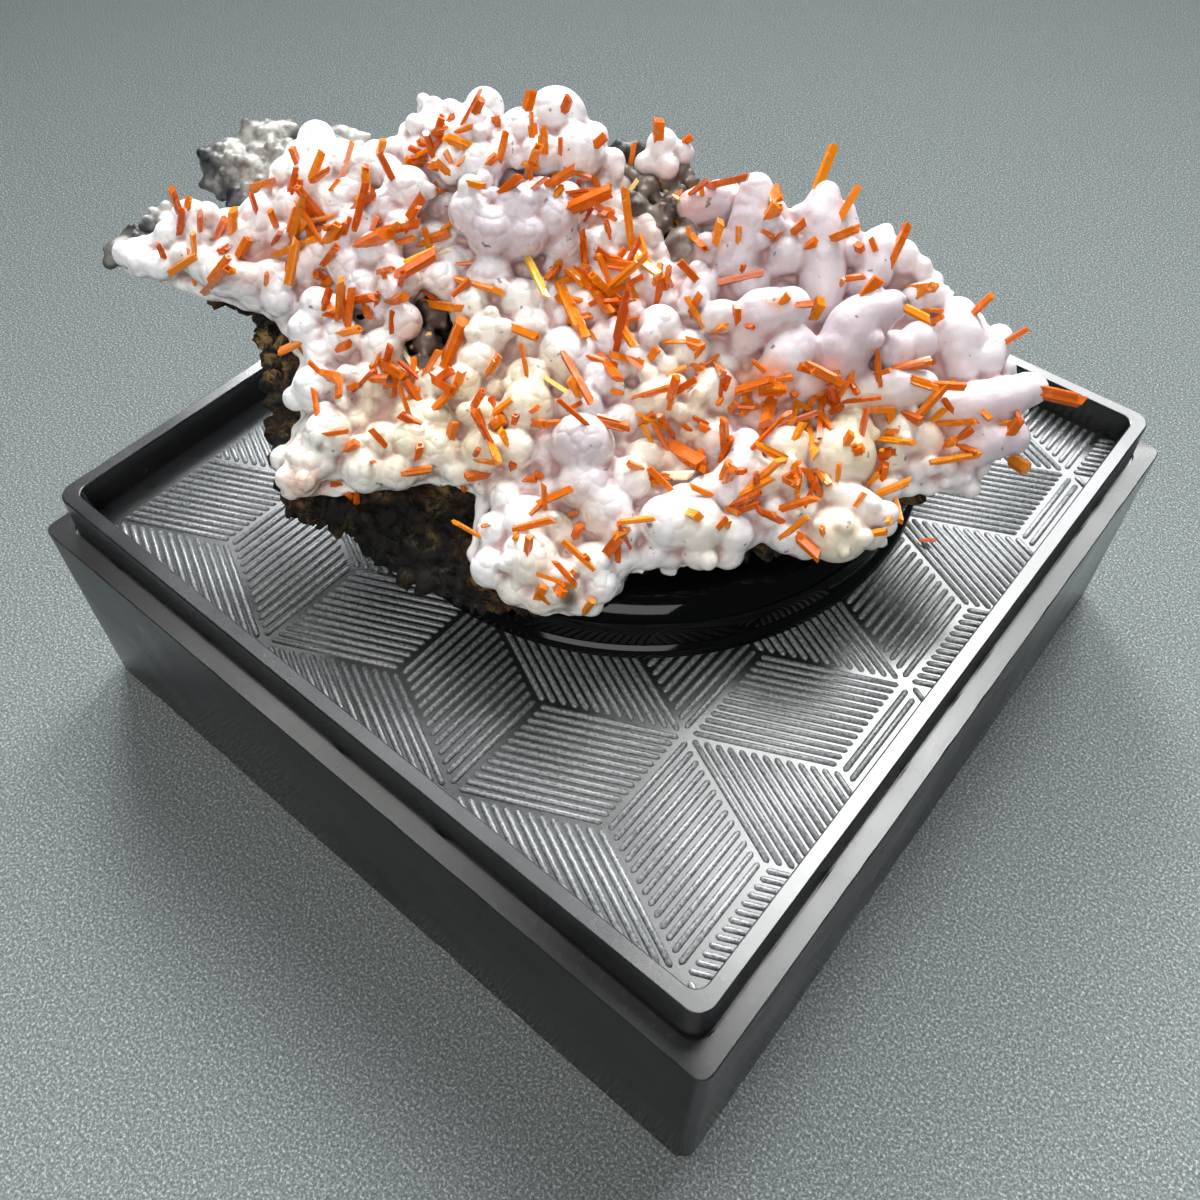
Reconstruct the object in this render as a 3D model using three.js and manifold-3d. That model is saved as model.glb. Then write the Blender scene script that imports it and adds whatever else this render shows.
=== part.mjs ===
// Crocoite crystals on a white gibbsite crust over dark gossan matrix, kept on a black
// puck in the lower half of a square mineral box. Millimetres, +Z up, the origin at the
// centre of the box's underside.

import * as THREE from 'three';
import { mergeVertices } from 'three/addons/utils/BufferGeometryUtils.js';
import Module from 'manifold-3d';

const wasm = await Module();
wasm.setup();

// ---- driving dimensions ----

// Box base: a tapered square block with a ledge for the lid, a raised rim and a sunk floor.
const LEDGE_SIDE = 57;
const FOOT_SIDE = 58;
const LEDGE_HEIGHT = 17;
const RIM_SIDE = 54.1;
const RIM_TOP = 20.3;
const FLOOR_SIDE = 52.1;
const FLOOR_HEIGHT = 17.9;
const OUTER_CORNER = 0.9;
const RIM_CORNER = 1.2;
const FLOOR_CORNER = 0.9;

// Display puck: a low round plug with a soft top edge, standing a little off the centre.
const PUCK_RADIUS = 20;
const PUCK_HEIGHT = 4.3;
const PUCK_EDGE = 2.2;
const PUCK_LIP = 0.35;
const PUCK_X = -1.9;
const PUCK_Y = 4.6;
const GAP = 0.3;

// Specimen: a leaning plate. In its own frame X runs along it and -Y is its low front.
// Heights are above the rim's top. Lobes as wide as BROAD_LOBE get a peak of their own in
// the crust's net, and FINGER_STEPS lobes fill each stretch of a finger.
const SPECIMEN_TURN = Math.PI / 4;
const LEAN = 0.45;
const FRONT_Y = -16;
const FRONT_Z = 3;
const OPEN_SIDE = new THREE.Vector3(-6, -52, 53);
const FACE_RAISE = 1.2;
const CRUST_SINK = -0.6;
const CRUST_BACK = -2;
const BROAD_LOBE = 1.4;
const FINGER_STEPS = 3;
const CRUST_PITCH = 0.95;
const GOSSAN_TOP = 1.25;
const GOSSAN_EDGE = 0.9;
const GOSSAN_PITCH = 1.5;
const REST_HEIGHT = FLOOR_HEIGHT + 2 * GAP + PUCK_HEIGHT - RIM_TOP;

// ---- materials ----

function stoneLook(color, roughness) {
  return new THREE.MeshStandardMaterial({ color, roughness, metalness: 0 });
}

const boxPlastic = new THREE.MeshStandardMaterial({ color: 0x0d0e0f, roughness: 0.28, metalness: 0 });
const puckPlastic = new THREE.MeshStandardMaterial({ color: 0x050607, roughness: 0.08, metalness: 0 });
const gossanStone = stoneLook(0x1c1612, 0.85);
const gibbsiteStone = stoneLook(0xe9e4e6, 0.45);

// ---- solids and meshes ----

function solidOf(geometry) {
  const bare = geometry.index ? geometry.clone() : geometry;
  bare.deleteAttribute('normal');
  bare.deleteAttribute('uv');
  const merged = mergeVertices(bare, 1e-5);
  const vertProperties = new Float32Array(merged.attributes.position.array);
  const triVerts = new Uint32Array(merged.index.array);
  return new wasm.Manifold(new wasm.Mesh({ numProp: 3, vertProperties, triVerts }));
}

function meshOf(solid, name, material) {
  const found = solid.getMesh();
  const geometry = new THREE.BufferGeometry();
  geometry.setAttribute('position', new THREE.BufferAttribute(found.vertProperties, 3));
  geometry.setIndex(new THREE.BufferAttribute(found.triVerts, 1));
  geometry.computeVertexNormals();
  const mesh = new THREE.Mesh(geometry, material);
  mesh.name = name;
  return mesh;
}

function joined(solids) {
  return solids.reduce((whole, next) => whole.add(next));
}

function largestOf(solid) {
  const pieces = solid.decompose();
  return pieces.reduce((best, next) => (next.volume() > best.volume() ? next : best));
}

// ---- repeatable small differences from lobe to lobe ----

let seed = 20;

function vary(low, high) {
  seed = (seed * 16807) % 2147483647;
  return low + (high - low) * (seed / 2147483647);
}

// ---- box base ----

function roundedSquare(side, corner) {
  const half = side / 2;
  const shape = new THREE.Shape();
  shape.moveTo(half, -half + corner);
  shape.lineTo(half, half - corner);
  shape.absarc(half - corner, half - corner, corner, 0, Math.PI / 2, false);
  shape.lineTo(-half + corner, half);
  shape.absarc(-half + corner, half - corner, corner, Math.PI / 2, Math.PI, false);
  shape.lineTo(-half, -half + corner);
  shape.absarc(-half + corner, -half + corner, corner, Math.PI, 1.5 * Math.PI, false);
  shape.lineTo(half - corner, -half);
  shape.absarc(half - corner, -half + corner, corner, 1.5 * Math.PI, 2 * Math.PI, false);
  return shape;
}

function squareBlock(side, corner, low, high, spread) {
  const options = { depth: high - low, bevelEnabled: false, curveSegments: 4 };
  const geometry = new THREE.ExtrudeGeometry(roundedSquare(side, corner), options);
  const position = geometry.attributes.position;
  for (let i = 0; i < position.count; i += 1) {
    const atFoot = position.getZ(i) < 1e-6;
    const factor = atFoot ? spread : 1;
    position.setXY(i, position.getX(i) * factor, position.getY(i) * factor);
  }
  geometry.translate(0, 0, low);
  return solidOf(geometry);
}

function makeBoxBase() {
  const block = squareBlock(LEDGE_SIDE, OUTER_CORNER, 0, LEDGE_HEIGHT, FOOT_SIDE / LEDGE_SIDE);
  const rim = squareBlock(RIM_SIDE, RIM_CORNER, LEDGE_HEIGHT - 1, RIM_TOP, 1);
  const recess = squareBlock(FLOOR_SIDE, FLOOR_CORNER, FLOOR_HEIGHT, RIM_TOP + 1, 1);
  return block.add(rim).subtract(recess);
}

// ---- display puck ----

function makePuck() {
  const profile = [new THREE.Vector2(0, 0), new THREE.Vector2(PUCK_RADIUS + PUCK_LIP, 0)];
  profile.push(new THREE.Vector2(PUCK_RADIUS + PUCK_LIP, 0.7));
  profile.push(new THREE.Vector2(PUCK_RADIUS, 1));
  for (let i = 0; i <= 4; i += 1) {
    const turn = (i / 4) * (Math.PI / 2);
    const x = PUCK_RADIUS - PUCK_EDGE + PUCK_EDGE * Math.cos(turn);
    const y = PUCK_HEIGHT - PUCK_EDGE + PUCK_EDGE * Math.sin(turn);
    profile.push(new THREE.Vector2(x, y));
  }
  profile.push(new THREE.Vector2(0, PUCK_HEIGHT));
  const geometry = new THREE.LatheGeometry(profile, 40);
  geometry.rotateX(Math.PI / 2);
  return geometry;
}

// ---- places on the leaning plate ----

// A place on the plate's face, moved off it by lift millimetres towards the open side.
function place(x, y, lift) {
  const spot = new THREE.Vector3(x, y, FRONT_Z + LEAN * (y - FRONT_Y));
  const outward = OPEN_SIDE.clone().sub(spot).normalize();
  return spot.addScaledVector(outward, lift + FACE_RAISE);
}

// Rounded lobes of the crust: x, y, lift and radius in millimetres.
const LOBES = [
  // left wing, a flat shell
  [-30.2, 7, 0.2, 0.85], [-29.1, 6.3, 0.3, 0.9], [-27.8, 6.1, 0.4, 1], [-26, 8.8, 0.6, 1.3],
  [-27.2, 7.9, 0.4, 1], [-25.4, 7.7, 0.6, 1.1], [-26.5, 6.6, 0.5, 0.9], [-25.2, 6, 0.5, 1.1],
  [-24, 5.3, 0.6, 1.3], [-22.8, 4.8, 0.7, 1.2], [-21.2, 5, 0.8, 1.1], [-23.7, 6.6, 0.6, 1],
  [-22.5, 7.6, 0.8, 1.1], [-21.7, 8.8, 1, 1.4], [-20.8, 3.6, 0.6, 1], [-24.2, 8.2, 0.5, 1],
  // upper left mass
  [-18.2, 13.6, 1.2, 1.2], [-19.1, 12.4, 1.3, 1.1], [-17.7, 12.4, 1.4, 1.3], [-20, 11.3, 1.3, 1.1],
  [-18.3, 10.9, 1.8, 1.6], [-16.5, 12.5, 1.2, 0.9], [-15.5, 11.5, 1.6, 1.4], [-16.2, 10.2, 1.7, 1.3],
  [-17.3, 9.4, 1.7, 1.3], [-20.9, 10.1, 1, 0.9], [-19.7, 9.4, 1.4, 1.1], [-14.5, 12.4, 1, 0.9],
  [-13.3, 12.7, 0.9, 0.8], [-13.9, 11.2, 1.4, 1.1], [-12.7, 10, 1.9, 1.5], [-14.3, 8.8, 1.7, 1.2],
  [-13.1, 7.6, 1.7, 1.2], [-15.8, 7.8, 1.7, 1.3], [-17, 7, 1.6, 1.2], [-18.2, 6.3, 1.4, 1.1],
  [-19.3, 5.4, 1.1, 1], [-20.5, 7.5, 1.1, 0.9], [-19.1, 8.2, 1.2, 0.9], [-16.6, 5.4, 1.4, 1.2],
  [-14.6, 6, 1.6, 1.3], [-15.6, 3.9, 1.3, 1.2], [-13.5, 4.4, 1.6, 1.4], [-14.6, 2.8, 1.1, 1],
  [-13.3, 1.8, 1.2, 1.2], [-14.7, 0.2, 0.7, 1.2],
  // left side below the wing
  [-18.4, 3, 1.3, 1.2], [-17.2, 2.9, 1.3, 0.8], [-19.2, 1.6, 1, 1.2], [-17.1, 1, 0.8, 1.2],
  [-18.4, 0, 0.7, 1], [-18.7, -2, 0.9, 1.4], [-17.5, -2.2, 0.8, 1], [-18.1, -4.7, 1.2, 1.5],
  [-18.9, -6.2, 0.9, 1.2], [-19.8, -5.8, 0.6, 0.9], [-20.5, -7, 0.4, 0.8], [-19.6, -7.3, 0.5, 0.8],
  [-16.4, -4, 0.4, 0.9], [-15.5, -1.8, 0.3, 1.3],
  // cream shelf above the front notch
  [-14.8, -5.4, 0.5, 1.3], [-13, -5.4, 0.6, 1.5], [-13, -3.8, 0.4, 1.1], [-16, -6.8, 0.5, 1.3],
  [-14, -7, 0.4, 1.2], [-11.6, -6, 0.5, 1.3], [-12, -4.2, 0.5, 1.3], [-11.8, -2.2, 0.5, 1.1],
  [-10, -2.2, 0.8, 1.2], [-9, -4.2, 0.6, 1.3], [-9, -6.2, 0.7, 1.3], [-7.1, -6.2, 1, 1.3],
  [-6.1, -3.9, 0.9, 1.7], [-6, -2.2, 0.8, 1.3], [-5.1, -6.6, 0.4, 1.2], [-10.6, -7.2, 0.3, 0.9],
  // middle
  [-10.9, 4.3, 0.7, 1], [-9.2, 2.6, 0.6, 1.2], [-7.8, 4.1, 0.8, 1.4], [-6, 2.5, 0.5, 1.5],
  [-8.2, 0.6, 0.9, 1.4], [-8.9, -0.9, 0.8, 1.3], [-5.7, 0.9, 0.4, 1.4], [-3.4, -0.8, 0.6, 1.7],
  [-2, 1.8, 0.3, 1.1], [-0.8, -0.2, 0.5, 1.4], [-3.2, 5.9, 0.9, 1.2], [-0.9, 6, 0.4, 1],
  [0.3, 6.6, 0.6, 1], [1.1, 4.3, -0.1, 1], [0.7, 1.5, 0.4, 0.9], [2.4, 0.5, 1, 1.4],
  [2.7, 2.4, 0.2, 0.8], [0.8, -1.6, 0.6, 1.1], [2.4, -2.2, 0.7, 0.9], [5.2, 2.7, 0.9, 1.2],
  [4, -1.1, 0.4, 1.3], [-2.9, -4.1, 0.9, 1.4], [-1.7, -2.5, 0.7, 1.2], [0.7, -7.2, 0.6, 1.1],
  [1.8, -4, 0.6, 1.5], [3.7, -4.8, 0.4, 1.2], [5.4, -3.6, 0.7, 1.4], [-0.5, -5, 0.4, 1.1],
  // one large smooth ball in the middle, and the balls below it
  [-3, -6.2, 1.9, 1.75], [-3, -8.5, 1.2, 1.7], [-0.5, -8.4, 1, 1.4], [-2, -10, 1.1, 1.5],
  [-4.9, -9, 0.2, 1.1], [-1.3, -11.1, 0.7, 1.3],
  // top knob
  [-2.8, 14.3, 2, 2], [-5.1, 13.6, 2.2, 1.4], [-7.4, 15.2, 1.5, 1.2], [-8.2, 13.5, 2.2, 1.6],
  [-6.4, 12.3, 2.3, 1.1], [-8, 11.3, 2.3, 1.5], [-10, 11.8, 1.8, 1.2], [-10.8, 13.9, 1.5, 1.3],
  [-11, 15.2, 1.1, 0.8], [-9.6, 15.1, 1.4, 0.8], [-11.8, 12.5, 1.3, 0.9], [-4, 11.9, 2.5, 1.2],
  [-1.7, 11.9, 2.2, 1.6], [0.5, 11.2, 1.3, 0.9], [-0.5, 12.9, 1.5, 0.9], [-12.3, 13.8, 0.9, 0.7],
  // drooping mass under the knob
  [-7.8, 9.9, 2.2, 0.9], [-8.7, 8.4, 2.4, 1.5], [-7.4, 7.1, 2.2, 1.6], [-5.8, 8.4, 2.8, 1.6],
  [-4.2, 9, 2.6, 1.4], [-2.7, 9, 2.4, 1], [-5.5, 6.7, 2.2, 1.4], [-3.5, 7.6, 2.3, 1.3],
  [-2.3, 8.1, 2.1, 0.9], [-6.6, 6, 1.7, 1],
  // back edge, right of the knob
  [3.8, 12.1, 1.3, 1], [2.6, 10.9, 0.8, 0.7], [5.2, 11.5, 0.9, 0.7], [3.9, 10.6, 0.9, 0.9],
  // among the fingers
  [5.2, 1.6, 0.8, 0.9], [10.9, 4.6, 2, 1.3], [9.9, 3.9, 1.4, 0.8], [8.4, 3, 0.9, 1.2],
  [18.3, 4, 1.6, 1.1], [19.3, 3.1, 1.3, 0.8], [20.1, 2.3, 1, 0.6], [18.7, 1.1, 1.2, 1.1],
  [19.7, 1.2, 1.3, 1.1], [16.8, -1.9, 1.4, 1.3], [18.4, -1.4, 1.4, 1.2], [15.6, 2.2, 1.2, 1.1],
  [16.6, -6.9, 0.8, 1.3], [17.8, -7.3, 0.7, 1.1], [15.6, -8.2, 0.4, 0.9], [18.6, -9, 0.1, 0.8],
  [19.8, -9.4, 0, 0.7], [19.6, -7.8, 0.4, 0.9], [20.2, -10.3, -0.2, 0.6], [11, -3.4, 1.3, 1.1],
  // lower right
  [12.5, -7.9, 1, 2.1], [13.4, -6.5, 0.8, 1.3], [9.4, -7.4, 0.8, 1.5], [8.9, -8.8, 0.8, 1.4],
  [11.7, -12.3, 0.9, 1.8], [9.6, -10.7, 0.5, 1.3], [8, -10.8, 0.5, 1.1], [13.6, -12.4, 0.3, 0.9],
  [6.2, -10.6, 0.5, 1], [15.2, -10, 0.1, 0.8], [8.6, -12.3, 0.3, 1], [4.9, -6.3, 0.5, 1.2],
  // front tip
  [-6.6, -10.4, 0.7, 1.5], [-7.8, -9, 0.5, 1], [-8.6, -10.7, 0.3, 1.1], [-9, -12.8, 0.2, 1.1],
  [-6.6, -12.5, 0.7, 1.7], [-5.1, -13.9, 0.6, 1.5], [-3.1, -12.9, 0.8, 1.2], [-5, -11, 0.5, 1.1],
  [-7.7, -14, 0.2, 1], [-6.2, -15, 0.1, 1.1], [-2.7, -14.8, 0.3, 1.1], [-3.8, -15.8, 0, 0.9],
  // large ball group at the front edge
  [1.6, -11, 1.4, 1.6], [3.4, -11.3, 1.6, 1.6], [5.4, -11.9, 1.1, 1.3], [2.6, -10.1, 1.2, 1.3],
  [4.1, -9.5, 1, 1.2], [3.4, -12.8, 0.8, 1.1], [0.7, -12.6, 0.5, 0.8], [5, -13, 0.4, 0.9],
];

// Fingers of the crust, each a run of lobes from its root to its tip.
const FINGERS = [
  // tall finger
  [[7.6, 4.2, 1.2, 1.4], [9, 6.5, 2.6, 1.4], [9.5, 8.7, 3.6, 1.1]],
  // its left root
  [[5.8, 4.4, 0.8, 0.8], [7.4, 5.6, 1.6, 0.8]],
  // short one behind it
  [[5.4, 7.9, 1, 1.1], [7.4, 8.3, 1.4, 1.2]],
  // gritty rim along its right side
  [[11.2, 5, 2.2, 0.6], [10.8, 7.6, 3.2, 0.5]],
  // ball with a broken top
  [[8, -0.2, 1.2, 1.3], [8.7, 0.9, 2.2, 1.5], [10.7, 1.2, 3, 1.2]],
  // small round ball
  [[5.9, 0.8, 1.8, 0.9], [6.4, 1, 2.1, 0.95]],
  // ball above it
  [[4.6, 1.8, 1, 0.8], [5.4, 2.9, 1.6, 0.9]],
  [[12.7, 1.2, 0.9, 1.2], [13, 3, 1.6, 1.4], [13.3, 5, 2.3, 1.4],
    [13.4, 6.8, 3, 1.35], [13.9, 8.1, 3.5, 0.9]],
  // branches of the second finger
  [[14.8, 4.3, 2, 0.8], [15, 5.8, 2.4, 0.8], [15.2, 7.2, 2.8, 0.6]],
  [[11.9, 5.4, 1.8, 0.7], [12.2, 6.9, 2.5, 0.8]],
  // thin shell
  [[16.3, 3.1, 1.4, 1.2], [16.8, 4.7, 1.9, 1.1], [17.5, 5.7, 2.2, 0.5]],
  [[13, -2.8, 1.2, 1.5], [13.6, -1.6, 2.2, 1.75], [14.8, -0.1, 3.2, 1.6],
    [16, 0.6, 3.9, 1.2], [17.1, 0.9, 4.3, 0.9]],
  // stub in front
  [[9.2, -3, 1, 1.4], [10.1, -1.9, 2, 1.4], [11.1, -0.9, 2.7, 0.9]],
  [[13.2, -4.4, 0.8, 1.2], [14.8, -4.3, 1.2, 1.2], [16.5, -4.2, 1.6, 1.2], [18.2, -4.2, 1.8, 1.05]],
  [[19.2, -5.5, 1, 1.1], [21, -5.6, 1.4, 1.4], [23, -5.2, 1.7, 1.35], [24.9, -4.7, 1.8, 1.05]],
  // right edge
  [[21, -3, 1, 1.2], [21, -1.4, 1.5, 1.5], [21.2, 0.1, 1.6, 1.1]],
  [[22.4, -2.8, 1.2, 1.2], [23.5, -1.5, 1.4, 0.9]],
  // lower right lobe
  [[19.8, -7, 0.4, 1], [21.2, -7.7, 0.8, 1.3], [23.2, -7.5, 1, 1.05]],
  // forked lobe
  [[5.3, -9.4, 1.1, 1.3], [6.6, -8, 1.7, 1], [6.9, -6.7, 1.7, 0.8]],
  [[6.6, -8.2, 1.6, 1], [7.7, -8.9, 1.5, 0.95]],
  // white finger
  [[11.9, -10, 1.3, 0.9], [12.9, -10.6, 1.6, 1.05], [13.8, -11.2, 1.7, 0.95]],
];

// The lobes of one finger: its listed places and even steps between them.
function lobesAlong(run) {
  const between = run.slice(1).flatMap((further, i) => {
    const here = run[i];
    const shares = Array.from({ length: FINGER_STEPS }, (_, step) => step / FINGER_STEPS);
    return shares.map((share) => here.map((value, part) => value + (further[part] - value) * share));
  });
  return [...between, run[run.length - 1]];
}

const CRUST_LOBES = [...LOBES, ...FINGERS.flatMap(lobesAlong)];

// Outline of the crust on the plate's face.
const CRUST_OUTLINE = [
  [-30.9, 7.6], [-30.5, 6.3], [-29.8, 5.7], [-28.2, 5.1], [-25.2, 4], [-21.6, 2.8], [-20.4, 1.4],
  [-19.7, 0], [-19.8, -2], [-19.7, -3.6], [-20.6, -5], [-21.3, -7.2], [-20.6, -8.2], [-17.5, -8.2],
  [-15, -7.9], [-12.5, -8], [-11, -8], [-9.7, -8.9], [-9.8, -10.4], [-10.3, -12], [-9.5, -13.7],
  [-7.6, -15.2], [-6, -16.3], [-4.4, -16.6], [-2.8, -16.2], [-1.6, -15.2], [-0.7, -14], [1.6, -14],
  [3, -13.9], [5.4, -13.8], [6.6, -12.6], [9, -13.4], [12, -14], [14.4, -13], [15.4, -10.8],
  [18.4, -10.4], [20.6, -10.6], [21.4, -9], [23.6, -8.4], [24.2, -6.6], [25.6, -4.8], [24.2, -3.4],
  [23.6, -1], [21.6, 1], [20, 2.8], [18.4, 4.6], [16.4, 5.6], [14.5, 6.6], [12.5, 6.6], [10.5, 7.2],
  [8.5, 8], [6, 8.8], [3, 10.6], [0.5, 11.4], [-1, 12.4], [-4, 13.6], [-8, 14.4], [-12, 14.2],
  [-13.4, 12.6], [-15, 12], [-18, 13], [-20.3, 12], [-21.3, 10.4], [-24, 9.2], [-27, 9.6], [-29, 8.2],
];

// Pits where the crust never closed over the dark rock: x, y, depth centre and radius.
const PITS = [
  [-12, 0, -0.6, 1.3], [-11.7, 1.5, -0.6, 1.2], [-11.4, 2.8, -0.6, 0.9], [4, 10.2, -1, 1.2],
  [3.2, 8.6, -1, 1.4], [4.6, 6.8, -1, 1.1],
];

// ---- sheets ----

function insideOutline(x, y, outline) {
  let inside = false;
  outline.forEach(([x1, y1], i) => {
    const [x2, y2] = outline[(i + 1) % outline.length];
    if (y1 > y !== y2 > y && x < x1 + ((y - y1) / (y2 - y1)) * (x2 - x1)) {
      inside = !inside;
    }
  });
  return inside;
}

function nearestOnOutline(x, y, outline) {
  const spot = new THREE.Vector3(x, y, 0);
  const near = new THREE.Vector3();
  let best = null;
  outline.forEach(([x1, y1], i) => {
    const [x2, y2] = outline[(i + 1) % outline.length];
    const edge = new THREE.Line3(new THREE.Vector3(x1, y1, 0), new THREE.Vector3(x2, y2, 0));
    edge.closestPointToPoint(spot, true, near);
    if (!best || near.distanceTo(spot) < best.distanceTo(spot)) {
      best = near.clone();
    }
  });
  return best;
}

// Edges that only one triangle of a flat net uses, as a map from start to end.
function openEdges(triangles) {
  const edges = new Map();
  triangles.forEach((corners) => {
    corners.forEach((from, i) => {
      const to = corners[(i + 1) % 3];
      if (edges.has(`${to} ${from}`)) {
        edges.delete(`${to} ${from}`);
      } else {
        edges.set(`${from} ${to}`, [from, to]);
      }
    });
  });
  return [...edges.values()];
}

// A net of triangles that fills an outline, with round holes left open in it.
function netOf(outline, holes, pitch, peaks) {
  const points = [];
  const inUse = [];
  const rowHeight = pitch * 0.866;
  const columns = Math.ceil(66 / pitch);
  const rows = Math.ceil(40 / rowHeight);
  for (let row = 0; row <= rows; row += 1) {
    for (let column = 0; column <= columns; column += 1) {
      const x = -33 + (column + (row % 2) / 2) * pitch;
      const y = -18 + row * rowHeight;
      const edge = nearestOnOutline(x, y, outline);
      const close = Math.hypot(edge.x - x, edge.y - y) < pitch * 0.45;
      points.push(close ? new THREE.Vector2(edge.x, edge.y) : new THREE.Vector2(x, y));
      const open = holes.some(([hx, hy, , radius]) => Math.hypot(x - hx, y - hy) < radius);
      inUse.push((close || insideOutline(x, y, outline)) && !open);
    }
  }
  peaks.forEach(([x, y]) => {
    const peak = new THREE.Vector2(x, y);
    const near = points.find((point, i) => inUse[i] && point.distanceTo(peak) < pitch * 0.4);
    if (near) {
      near.copy(peak);
    }
  });
  let triangles = [];
  for (let row = 0; row < rows; row += 1) {
    for (let column = 0; column < columns; column += 1) {
      const a = row * (columns + 1) + column;
      const c = a + columns + 1;
      const even = row % 2 === 0;
      triangles.push(even ? [a, a + 1, c] : [a, a + 1, c + 1]);
      triangles.push(even ? [a + 1, c + 1, c] : [a, c + 1, c]);
    }
  }
  triangles = triangles.filter((corners) => corners.every((corner) => inUse[corner]));
  for (let pass = 0; pass < 4; pass += 1) {
    const starts = new Map();
    openEdges(triangles).forEach(([from]) => starts.set(from, (starts.get(from) || 0) + 1));
    triangles = triangles.filter((corners) => corners.every((corner) => (starts.get(corner) || 0) < 2));
  }
  return { points, triangles };
}

function loopsOf(triangles) {
  const next = new Map(openEdges(triangles));
  const loops = [];
  while (next.size > 0) {
    const loop = [];
    let at = next.keys().next().value;
    while (next.has(at)) {
      loop.push(at);
      const to = next.get(at);
      next.delete(at);
      at = to;
    }
    loops.push(loop);
  }
  return loops.sort((one, two) => two.length - one.length);
}

// A solid with the net on one side, shaped by reliefAt, and a plain face on the other.
function sheetOf({ points, triangles }, reliefAt, plainAt, netFacesUp) {
  const loops = loopsOf(triangles);
  const rim = new Set(loops.flat());
  const positions = [];
  const relief = new Map();
  const plain = new Map();
  triangles.flat().forEach((corner) => {
    if (!relief.has(corner)) {
      relief.set(corner, positions.length / 3);
      positions.push(...reliefAt(points[corner].x, points[corner].y, rim.has(corner)).toArray());
    }
  });
  loops.flat().forEach((corner) => {
    plain.set(corner, positions.length / 3);
    positions.push(...plainAt(points[corner].x, points[corner].y).toArray());
  });
  const index = [];
  triangles.forEach((corners) => index.push(...corners.map((corner) => relief.get(corner))));
  loops.forEach((loop) => {
    loop.forEach((from, i) => {
      const to = loop[(i + 1) % loop.length];
      index.push(relief.get(to), relief.get(from), plain.get(from));
      index.push(relief.get(to), plain.get(from), plain.get(to));
    });
  });
  const flat = loops.map((loop) => loop.map((corner) => points[corner]));
  const order = loops.flat();
  THREE.ShapeUtils.triangulateShape(flat[0], flat.slice(1)).forEach(([a, b, c]) => {
    index.push(plain.get(order[a]), plain.get(order[c]), plain.get(order[b]));
  });
  if (!netFacesUp) {
    index.reverse();
  }
  const geometry = new THREE.BufferGeometry();
  geometry.setAttribute('position', new THREE.Float32BufferAttribute(positions, 3));
  geometry.setIndex(index);
  return solidOf(geometry);
}

function lump(x, y, lift, radius, flatness) {
  const geometry = new THREE.IcosahedronGeometry(radius, 1);
  geometry.rotateX(vary(0, 3));
  geometry.rotateZ(vary(0, 3));
  geometry.scale(1, 1, flatness);
  const spot = place(x, y, lift);
  geometry.translate(spot.x, spot.y, spot.z);
  return solidOf(geometry);
}

// ---- gibbsite crust ----

// Height of the lobes' tops over the face, looking along the way they grow.
function surfaceLift(x, y) {
  let highest = CRUST_SINK;
  const foot = place(x, y, 0);
  const outward = OPEN_SIDE.clone().sub(foot).normalize();
  for (const [lobeX, lobeY, lift, radius] of CRUST_LOBES) {
    const toLobe = place(lobeX, lobeY, lift).sub(foot);
    const along = toLobe.dot(outward);
    const aside = toLobe.lengthSq() - along * along;
    if (aside < radius * radius) {
      highest = Math.max(highest, along + Math.sqrt(radius * radius - aside));
    }
  }
  return highest;
}

function makeCrust(grow) {
  const broad = CRUST_LOBES.filter(([, , , radius]) => radius >= BROAD_LOBE);
  const net = netOf(CRUST_OUTLINE, PITS, CRUST_PITCH, broad);
  const reliefAt = (x, y, onRim) => {
    const lift = surfaceLift(x, y);
    return place(x, y, (onRim ? 0.4 * lift + 0.6 * CRUST_SINK : lift) + grow);
  };
  const plainAt = (x, y) => place(x, y, CRUST_BACK - grow);
  return sheetOf(net, reliefAt, plainAt, true);
}

// ---- gossan matrix ----

const GOSSAN_OUTLINE = [
  [-27.4, 7.6], [-26, 6.2], [-22.8, 4.6], [-21.9, 1], [-21.9, -4.5], [-20.8, -8], [-17, -9.8],
  [-14.4, -12], [-11.4, -13.8], [-8, -14.8], [-4, -14.6], [-1, -12.6], [4, -12.4], [9, -12],
  [14, -10.8], [18, -9.2], [21.5, -7.8], [22.6, -4.6], [21, -0.6], [17, 3], [11, 6], [5.6, 8.6],
  [0, 10.6], [-5, 12], [-10, 12.2], [-16, 11.2], [-19.6, 12], [-22.6, 11], [-25.6, 9.6],
];

// Lumps of the gossan's underside: x, y, depth and radius.
const GOSSAN_LUMPS = [
  [-18, -3, 4.5, 4.6], [-13, -5, 4.8, 5.2], [-8, -7, 4, 5.4], [-2, -7, 4, 5.2], [4, -6, 4.5, 5.2],
  [10, -5, 4.4, 5.2], [15.5, -4, 3.6, 4.6], [-16, 2, 5, 5.2], [-9, 1, 7, 6.4], [-2, 1, 9.5, 6.8],
  [5, 0, 9, 6.4], [11, 1, 5, 5.2], [-18, 7, 4, 4.6], [-11, 7, 6, 5.4], [-4, 7, 8.5, 5.8],
  [2, 5.5, 9, 5.4], [8, 4.6, 5, 4.4], [-20, 9.5, 3, 3.4], [18, -6, 2.6, 3.4], [-12.2, -9, 3, 3],
  [-8.6, -11, 2.6, 2.8], [-20, 3, 4, 3], [-20.2, -4.6, 3.4, 2.8], [-24, 7.5, 2, 2.8],
];

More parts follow.
